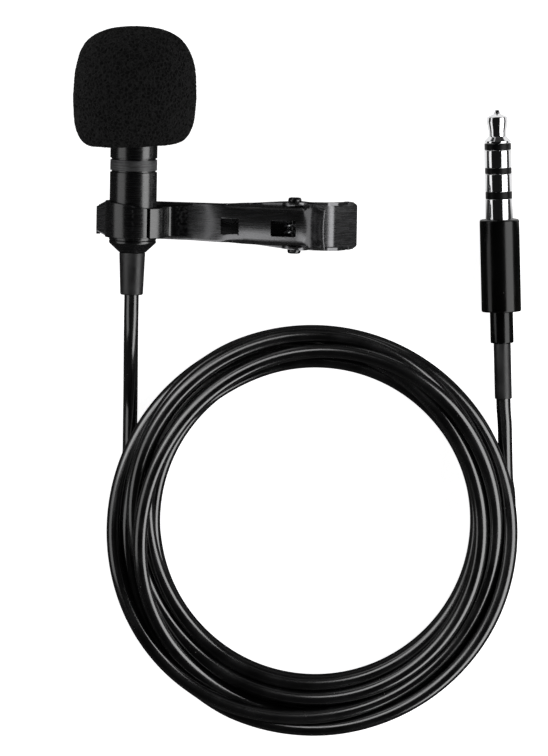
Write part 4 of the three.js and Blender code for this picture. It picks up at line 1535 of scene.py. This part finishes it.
@dataclass
class BentSheet:
    """A strip of sheet that bends along its length, with sides folded out of it.

    The line is the sheet's outer face in X and Z. The plan gives its half width at values of X. The
    strip's middle lies askew by lean from one X on. Its face is crowned from another X on, which
    takes the length of crown_rise. A side folds by the radius fold, which it reaches fold_rise from
    its ends.
    """

    line: list[Pair]
    plan: list[Pair]
    flanges: tuple[Flange, ...]
    middle: float
    thickness: float
    outer_up: bool
    fold: float = 0.5
    fold_rise: float = 0.8
    step: float = 0.16
    lean: float = -0.017
    lean_from: float = 15.0
    crown: float = 0.0
    crown_from: float = 0.5
    crown_rise: float = 3.0
    # How many points a row has across the flat, round each fold and up each side.
    flat_points: int = 15
    fold_points: int = 4
    side_points: int = 5

    def crown_at(self, x: float | np.ndarray) -> float | np.ndarray:
        """Return how far the flat's edges lie under its middle at values of X."""
        return self.crown * smooth((x - self.crown_from) / self.crown_rise)

    def section(self, place: np.ndarray, normal: np.ndarray, free: np.ndarray, reach: float, inset: float
                ) -> list[Point]:
        """Return one row of one face of the sheet, from one free edge across to the other.

        Args:
            place: The middle point of the sheet's outer face, in X and Z.
            normal: The direction out of it.
            free: The free edge's point.
            reach: The outer radius of the fold, or nothing where no side is folded.
            inset: How far the face lies under the outer one.

        Returns:
            The row's points.
        """
        middle = self.middle + self.lean * (place[0] - self.lean_from)
        half = float(np.interp(place[0], *np.array(self.plan).T))
        crown = normal * float(self.crown_at(place[0]))
        base = place - normal * inset
        if reach > 0.0:
            half -= inset
            reach = max(reach - inset, 0.02)
        across = np.linspace(-1.0, 1.0, self.flat_points)
        flat = [(t * (half - reach), *(base - crown * t * t)) for t in across]
        side = []
        for k in range(1, self.fold_points + 1):
            angle = k / self.fold_points * math.pi / 2
            down = reach * (1.0 - math.cos(angle))
            side.append((half - reach + reach * math.sin(angle), *(base - crown - normal * down)))
        fold_end = base - crown - normal * reach
        for k in range(1, self.side_points + 1):
            side.append((half, *(fold_end + (free - fold_end) * k / self.side_points)))
        row = [*((-y, x, z) for y, x, z in side[::-1]), *flat, *side]
        return [(x, middle + y, z) for y, x, z in row]

    def folds(self, line: np.ndarray, normal: np.ndarray) -> tuple[np.ndarray, np.ndarray]:
        """Find where the sides are folded up.

        Args:
            line: The points of the outer face's middle line.
            normal: The directions out of it.

        Returns:
            The free edge's point for each row, and the fold's radius, which is nothing where the
            side would be hardly higher than the sheet is thick.
        """
        free = line - normal * 0.05
        reach = np.zeros(len(line))
        rim = line - normal * self.crown_at(line[:, :1])
        for flange in self.flanges:
            rows = np.flatnonzero((line[:, 0] >= flange.start) & (line[:, 0] <= flange.end))
            edge = np.stack([line[rows, 0], np.interp(line[rows, 0], *np.array(flange.edge).T)], axis=1)
            room = np.sum((rim[rows] - edge) * normal[rows], axis=1)
            high = room > self.thickness + 0.1
            rows, edge, room = rows[high], edge[high], room[high]
            to_end = np.minimum(line[rows, 0] - flange.start, flange.end - line[rows, 0])
            free[rows] = edge
            wish = np.minimum(self.fold * smooth(to_end / self.fold_rise), 0.6 * room - 0.1)
            reach[rows] = np.maximum(0.03, wish)
        return free, reach

    def build(self, name: str) -> bpy.types.Object:
        """Make the sheet as a closed solid with an outer face, an inner face and a rim.

        Args:
            name: Name of the piece.

        Returns:
            The new object.
        """
        line = spaced(self.line, self.step)
        normal = left_of(line) * (1.0 if self.outer_up else -1.0)
        free, reach = self.folds(line, normal)
        points = [
            self.section(line[i], normal[i], free[i], reach[i], inset)
            for inset in (0.0, self.thickness) for i in range(len(line))
        ]
        columns = len(points[0])
        side, count = self.fold_points + self.side_points, columns * len(line)
        outer = []
        for i in range(len(line) - 1):
            whole = reach[i] > 0.0 and reach[i + 1] > 0.0
            for j in range(columns - 1) if whole else range(side, columns - 1 - side):
                here, after = i * columns + j, (i + 1) * columns + j
                quad = [here, here + 1, after + 1, after]
                outer.append(quad[::-1] if self.outer_up else quad)
        edges = {pair for face in outer for pair in zip(face, face[1:] + face[:1])}
        rim = [[b, a, a + count, b + count] for a, b in edges if (b, a) not in edges]
        inner = [[corner + count for corner in face[::-1]] for face in outer]
        sheet = mesh_piece(name, np.array(points).reshape(-1, 3), outer + inner + sorted(rim))
        unused = bmesh.new()
        unused.from_mesh(sheet.data)
        bmesh.ops.delete(unused, geom=[v for v in unused.verts if not v.link_faces], context="VERTS")
        unused.to_mesh(sheet.data)
        unused.free()
        return sheet


@dataclass
class Clip:
    """The sprung clip: a collar round the tube, two jaws, their pin and their spring.

    The jaws are wall thick, and their outer faces lie half of sheet beside their lines. The collar's
    band has its middle at the radius collar. The upper jaw's line lies at jaw_z under the tube, and
    lower_half is half the width of the lower jaw's ears. The pin, its head, the spring's coil and
    its wire are radii.
    """

    wall: float = 0.4
    sheet: float = 0.5
    band: float = 0.45
    collar: float = 3.305
    collar_back: float = -9.8
    jaw_z: float = 3.95
    edge: float = 0.06
    lower_half: float = 3.1
    pin: float = 0.6
    pin_head: float = 0.85
    coil: float = 1.15
    coil_wire: float = 0.25
    coil_pitch: float = 0.9
    coil_turns: float = 3.656
    leg: float = 2.1
    leg_angle: float = 28.0

    def offset(self, line: list[Pair], by: float) -> list[Pair]:
        """Return a line in X and Z moved to its left by a distance."""
        points = spaced(line, 0.1)
        return [tuple(p) for p in points + left_of(points) * by]

    def upper_jaw(self) -> None:
        """Make the upper jaw: flat under the tube, up an S-bend, and back to its raised lever."""
        z = self.jaw_z
        line = [(-15.0, z), (-3.9, z), *bezier((-3.9, z), (-2.1, z), (-0.6, 5.65), (2.3, 6.12), 20)]
        line += bezier((2.3, 6.12), (4.9, 6.54), (7.4, 6.82), (10.6, 6.84), 12)
        line += bezier((10.6, 6.84), (12.1, 6.87), (13.0, 7.6), (13.4, 9.0), 14) + [(13.85, 11.2)]
        plan = [
            (-15.1, 1.5), (-13.6, 2.26), (-13.2, 2.34), (-5.7, 2.34), (1.9, 2.385), (3.5, 2.5), (6.0, 2.56),
            (13.3, 2.6), (13.7, 2.5), (14.05, 2.05), (14.3, 1.5),
        ]
        edge = [
            (0.95, 5.6), (1.6, 5.1), (3.5, 4.85), (8.9, 3.95),
            *arc((PIVOT_X, PIVOT_Z), 1.3, 220.0, 340.0, 16), (11.75, 6.0), (12.0, 6.7),
        ]
        outer = self.offset(line, self.sheet / 2)
        flange = Flange(0.9, 12.1, edge)
        sheet = BentSheet(outer, plan, (flange,), CLIP_Y, self.wall, True, fold=0.9, crown=0.2,
                          crown_from=-1.2)
        jaw = sheet.build("clip_top")
        hole_y = CLIP_Y - 0.3
        cut_away(jaw, [
            block("hole", (0.9, hole_y - 0.75, 3.0), (3.2, hole_y + 1.25, 9.0), 0.12),
            block("window", (7.3, hole_y - 0.9, 5.5), (10.5, hole_y + 1.1, 9.0), 0.2),
            self.bore("pivot_hole"),
        ])
        soften(jaw, self.edge)
        dress(jaw, CLIP_STEEL, Body.CLIP, ("upper_jaw",))

    def bore(self, name: str) -> bpy.types.Object:
        """Make the drill for the pin's holes."""
        radius, half = self.pin + 0.08, 8.0
        return turned(name, [(0.0, -half), (radius, -half), (radius, half), (0.0, half)], PIVOT_AXIS, 32)

    def lower_jaw(self) -> None:
        """Make the lower jaw: a channel under the upper one that ends in a turned-down lever."""
        line = [(-14.7, 2.9), (-13.4, 2.75)]
        line += bezier((-13.4, 2.75), (-12.7, 2.5), (-12.0, 2.4), (-11.0, 2.4), 8) + [(10.9, 2.4)]
        line += bezier((10.9, 2.4), (11.7, 2.45), (11.5, 4.5), (12.7, 4.4), 12) + [(14.2, 4.05)]
        line += bezier((14.2, 4.05), (14.9, 3.88), (15.2, 3.7), (15.5, 3.3), 8) + [(18.2, 0.2)]
        plan = [
            (-15.1, 1.5), (-13.6, 2.3), (-13.2, 2.36), (2.0, 2.4), (5.75, 2.68), (8.3, 2.89), (10.9, 3.06),
            (17.0, 3.1), (17.5, 3.0), (17.9, 2.7), (18.25, 2.1), (18.5, 1.4),
        ]
        rear = [
            (4.05, 3.2), (4.6, 3.8), (6.2, 4.3), *arc((PIVOT_X, PIVOT_Z), 1.75, 150.0, 10.0, 20),
            (12.6, 5.3), (14.6, 4.95), (15.9, 4.0), (16.9, 2.1),
        ]
        front = rounded([(-12.2, 2.6), (-12.2, 3.3, 0.3), (1.8, 3.6, 0.3), (1.8, 2.6)], 0.3, 5, closed=False)
        outer = self.offset(line, -self.sheet / 2)
        flanges = (Flange(4.1, 16.9, rear), Flange(-12.2, 1.8, front))
        jaw = BentSheet(outer, plan, flanges, CLIP_Y, self.wall, False).build("clip_bottom")
        cut_away(jaw, [self.bore("pivot_hole")])
        join(jaw, self.teeth())
        soften(jaw, self.edge)
        dress(jaw, CLIP_STEEL, Body.JAW, ("lower_jaw",))

    def teeth(self) -> bpy.types.Object:
        """Make the toothed lip at the lower jaw's mouth."""
        pitch, count = 0.6, 5
        foot, root, top = 2.8, 3.3, 3.72
        front, back = -15.0, -14.5
        first, last = CLIP_Y - count * pitch / 2, CLIP_Y + count * pitch / 2
        outline = [(first, foot)]
        for k in range(count):
            outline += [(first + k * pitch, root), (first + (k + 0.5) * pitch, top)]
        outline += [(last, root), (last, foot)]
        return prism("teeth", [(back, y, z) for y, z in outline], [(front, y, z) for y, z in outline])

    def strip(self, name: str, line: list[Pair]) -> bpy.types.Object:
        """Make one strip of the collar, cut to the collar's plan.

        Args:
            name: Name of the piece.
            line: The strip's middle line in X and Z.

        Returns:
            The new object.
        """
        points = spaced(line, 0.15)
        half, back = self.band / 2, self.collar_back
        rows = []
        for (x, z), (nx, nz) in zip(points, left_of(points)):
            front = float(np.interp(x, [-13.9, -8.2], [-5.1, -5.95]))
            section = rounded([(-half, back), (half, back), (half, front), (-half, front)], 0.12, 3)
            rows += [(x + nx * n, y, z + nz * n) for n, y in section]
        columns = len(rows) // len(points)
        faces = grid_faces(len(points), columns, False, True)
        faces += [list(range(columns))[::-1], list(range(len(rows) - columns, len(rows)))]
        return mesh_piece(name, np.array(rows), [face[::-1] for face in faces])

    def collar_ring(self) -> None:
        """Make the collar: one strip along the jaw and round the tube, and one down to its foot."""
        lay = MIC_Z - self.collar
        centre = (MIC_X, MIC_Z)
        wrap = self.strip("collar", [(-3.4, lay), (-8.0, lay), *arc(centre, self.collar, 270.0, 59.0, 80)])
        foot_z = lay + self.band - 0.03
        foot = bezier((-8.45, 10.54), (-6.88, 9.48), (-6.42, 9.1), (-6.42, 7.9), 16)
        foot += bezier((-6.42, 7.9), (-6.42, 6.0), (-6.3, foot_z), (-5.0, foot_z), 16) + [(-4.4, foot_z)]
        join(wrap, self.strip("foot", foot))
        dress(wrap, BLACK_METAL, Body.CLIP, ("collar_ring",))

    def pivot_pin(self) -> None:
        """Make the riveted pin."""
        face, low = self.lower_half + 0.06, -self.lower_half + 0.12
        end, low_end = face + 0.5, low - 0.5
        head, pin = self.pin_head, self.pin
        outline = [
            (0.0, low_end), (head - 0.1, low_end, 0.25), (head, low_end + 0.25, 0.1), (head, low, 0.06),
            (pin, low), (pin, face),
            (head, face, 0.06), (head, end - 0.25, 0.1), (head - 0.1, end, 0.25), (0.0, end),
        ]
        turned_piece("rivet", ("pivot_pin",), outline, PIVOT_AXIS, BLACK_METAL, 0.05, segments=64,
                     body=Body.CLIP)

    def torsion_spring(self) -> None:
        """Make the spring, with one leg reaching towards each jaw."""
        start = math.radians(90.0 + self.leg_angle)
        span = self.coil_turns * self.coil_pitch
        spots = []
        for part in np.linspace(0.0, 1.0, 120):
            angle = start - part * self.coil_turns * 2 * math.pi
            x, z = self.coil * math.cos(angle), self.coil * math.sin(angle)
            spots.append((PIVOT_X + x, CLIP_Y - span / 2 + part * span, PIVOT_Z + z))
        lean = math.radians(self.leg_angle)
        dx, dz = self.leg * math.cos(lean), self.leg * math.sin(lean)
        first, last = spots[0], spots[-1]
        upper = [(first[0] + dx * t, first[1], first[2] + dz * t) for t in (1.0, 0.66, 0.33)]
        lower = [(last[0] + dx * t, last[1], last[2] - dz * t) for t in (0.33, 0.66, 1.0)]
        spring = as_mesh(wire("spring", [*upper, *spots, *lower], self.coil_wire))
        dress(spring, BARE_STEEL, None, ("torsion_spring",))
        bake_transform(spring)

    def build(self) -> None:
        """Make every piece of the clip."""
        self.collar_ring()
        self.upper_jaw()
        self.lower_jaw()
        self.pivot_pin()
        self.torsion_spring()


# ---- plug ---------------------------------------------------------------------------------------


@dataclass
class Plug:
    """The four-pole plug with its housing and its relief.

    Ends, backs and starts are stations along the plug's axis, from its shoulder, and rings are
    pairs of stations. The others are radii, apart from the gap between pieces.
    """

    radius: float = 1.75
    bore: float = 0.65
    core: float = 0.5
    core_back: float = -9.0
    shank_back: float = -7.0
    sleeve_end: float = 2.62
    ring_2: Pair = (3.53, 5.82)
    ring_1: Pair = (6.59, 8.88)
    tip_start: float = 9.72
    tip_end: float = 14.0
    housing_radius: float = 2.54
    housing_bore: float = 2.1
    housing_back: float = -11.84
    step_back: float = -15.86
    step: float = 1.48
    rear: float = 1.1
    shank: float = 1.45
    cord_end: float = 0.9
    gap: float = 0.06

    def ring(self, name: str, node: str, span: Pair, finish: Finish, under: float, corner: float
             ) -> bpy.types.Object:
        """Make one of the plug's rings or of the bands between them.

        Args:
            name: Name of the piece.
            node: The node that it stands for.
            span: The stations between which it lies, with the gaps beside it.
            finish: Its finish.
            under: How far it lies under the plug's radius.
            corner: Radius of its corners.

        Returns:
            The piece.
        """
        back, front = span[0] + self.gap / 2, span[1] - self.gap / 2
        outline = ring_outline(self.bore, self.radius - under, back, front)
        return turned_piece(name, (node,), outline, PLUG_AXIS, finish, corner=corner)

    def rings(self) -> list[bpy.types.Object]:
        """Make the two ring contacts and the three bands."""
        made = []
        for at, n, span in (("front", "1", self.ring_1), ("back", "2", self.ring_2)):
            made.append(self.ring("ring_" + at, "plug_ring_" + n, span, NICKEL, 0.0, 0.05))
        for at, n, span in (
            ("front", "1", (self.ring_1[1], self.tip_start)),
            ("middle", "2", (self.ring_2[1], self.ring_1[0])),
            ("back", "3", (self.sleeve_end, self.ring_2[0])),
        ):
            made.append(self.ring("insulator_" + at, "plug_insulator_" + n, span, INSULATOR, 0.04, 0.03))
        return made

    def tip(self) -> bpy.types.Object:
        """Make the tip with its waist, its point and its core."""
        start, base = self.tip_start + self.gap, self.radius - 0.05
        outline = [
            (0.0, self.core_back), (self.core, self.core_back, 0.05), (self.core, start), (base, start, 0.04),
            (base, start + 0.26, 0.1), (1.15, 10.6, 0.25), (1.15, 11.2, 0.5), (1.38, 12.5, 0.35),
            (1.3, 13.1, 0.2), (0.72, 13.35, 0.12), (0.42, 13.5, 0.1), (0.3, self.tip_end, 0.2),
            (0.0, self.tip_end),
        ]
        return turned_piece("tip", ("plug_tip",), outline, PLUG_AXIS, NICKEL, corner=0.05, steps=6)

    def sleeve(self) -> bpy.types.Object:
        """Make the sleeve contact and its shank."""
        outline = [
            (self.bore, self.shank_back), (self.shank, self.shank_back, 0.1), (self.shank, -0.5),
            (self.radius, -0.5, 0.04), (self.radius, self.sleeve_end, 0.05), (self.bore, self.sleeve_end),
        ]
        return turned_piece("sleeve", ("plug_sleeve",), outline, PLUG_AXIS, NICKEL)

    def housing(self) -> bpy.types.Object:
        """Make the glossy housing."""
        r, hollow, back = self.housing_radius, self.housing_bore, self.housing_back
        seat, bore, throat = self.radius + self.gap, self.shank + self.gap, self.step - 0.4
        outline = [
            (throat, back), (r, back, 0.22), (r, 0.0, 0.32), (seat, 0.0, 0.05), (seat, -0.56),
            (bore, -0.56), (bore, -2.0), (hollow, -2.2), (hollow, back + 1.2), (throat, back + 1.2),
        ]
        return turned_piece("housing", ("plug_housing",), outline, PLUG_AXIS, GLOSS, steps=6, segments=128)

    def relief(self) -> list[bpy.types.Object]:
        """Make the relief's stiff front half and its soft rear half."""
        inner, neck, front = self.cord_end + self.gap, self.step - 0.46, self.housing_back - self.gap
        outline = [
            (inner, self.step_back), (self.step, self.step_back, 0.16), (self.step, front, 0.05),
            (neck, front), (neck, self.housing_back + 2.0), (inner, self.housing_back + 2.0),
        ]
        rear = ring_outline(inner, self.rear, PLUG_BACK, self.step_back - self.gap)
        return [
            turned_piece("relief_front", ("plug_relief_front",), outline, PLUG_AXIS, GLOSS, steps=5),
            turned_piece("relief_rear", ("plug_relief_rear",), rear, PLUG_AXIS, RUBBER, 0.1, segments=80),
        ]

    def inside(self) -> list[bpy.types.Object]:
        """Make the moulding and the cord's end inside the housing."""
        inner, outer, back, front = self.shank + self.gap, self.housing_bore - 0.1, -7.4, -2.6
        mould = [(inner, back), (outer, back, 0.2), (outer, front, 0.2), (inner, front)]
        r, back, front = self.cord_end, PLUG_BACK + 0.3, self.core_back - 0.3
        end = [(0.0, back), (r, back, 0.05), (r, front, 0.2), (0.0, front)]
        return [
            turned_piece("plug_mould", ("plug_inner_mould",), mould, PLUG_AXIS, INSULATOR, 0.05, segments=64),
            turned_piece("plug_cord_end", ("plug_core_end",), end, PLUG_AXIS, JACKET, 0.05, segments=48),
        ]

    def build(self) -> list[bpy.types.Object]:
        """Make every piece of the plug and return them."""
        return [self.tip(), *self.rings(), self.sleeve(), self.housing(), *self.relief(), *self.inside()]


def main() -> None:
    """Build the studio and every sub-assembly."""
    logging.basicConfig(level=logging.INFO, format="%(message)s", stream=sys.stdout)
    studio = Studio()
    studio.build()
    plug_pieces = Plug().build()
    CoiledCord().build(plug_pieces)
    Windscreen().build()
    MicBody().build()
    Clip().build()
    soft_pieces = ("cord", "windscreen", "strain_relief", "relief_rear")
    studio.panel_for("panel_side", (-174.0, 130.0, 300.0), 2.6, soft_pieces)
    studio.panel_for("panel_foot", (-174.0, -190.0, 300.0), 2.0, ("clip_top", "clip_bottom", "rivet"))


if __name__ == "__main__":
    main()
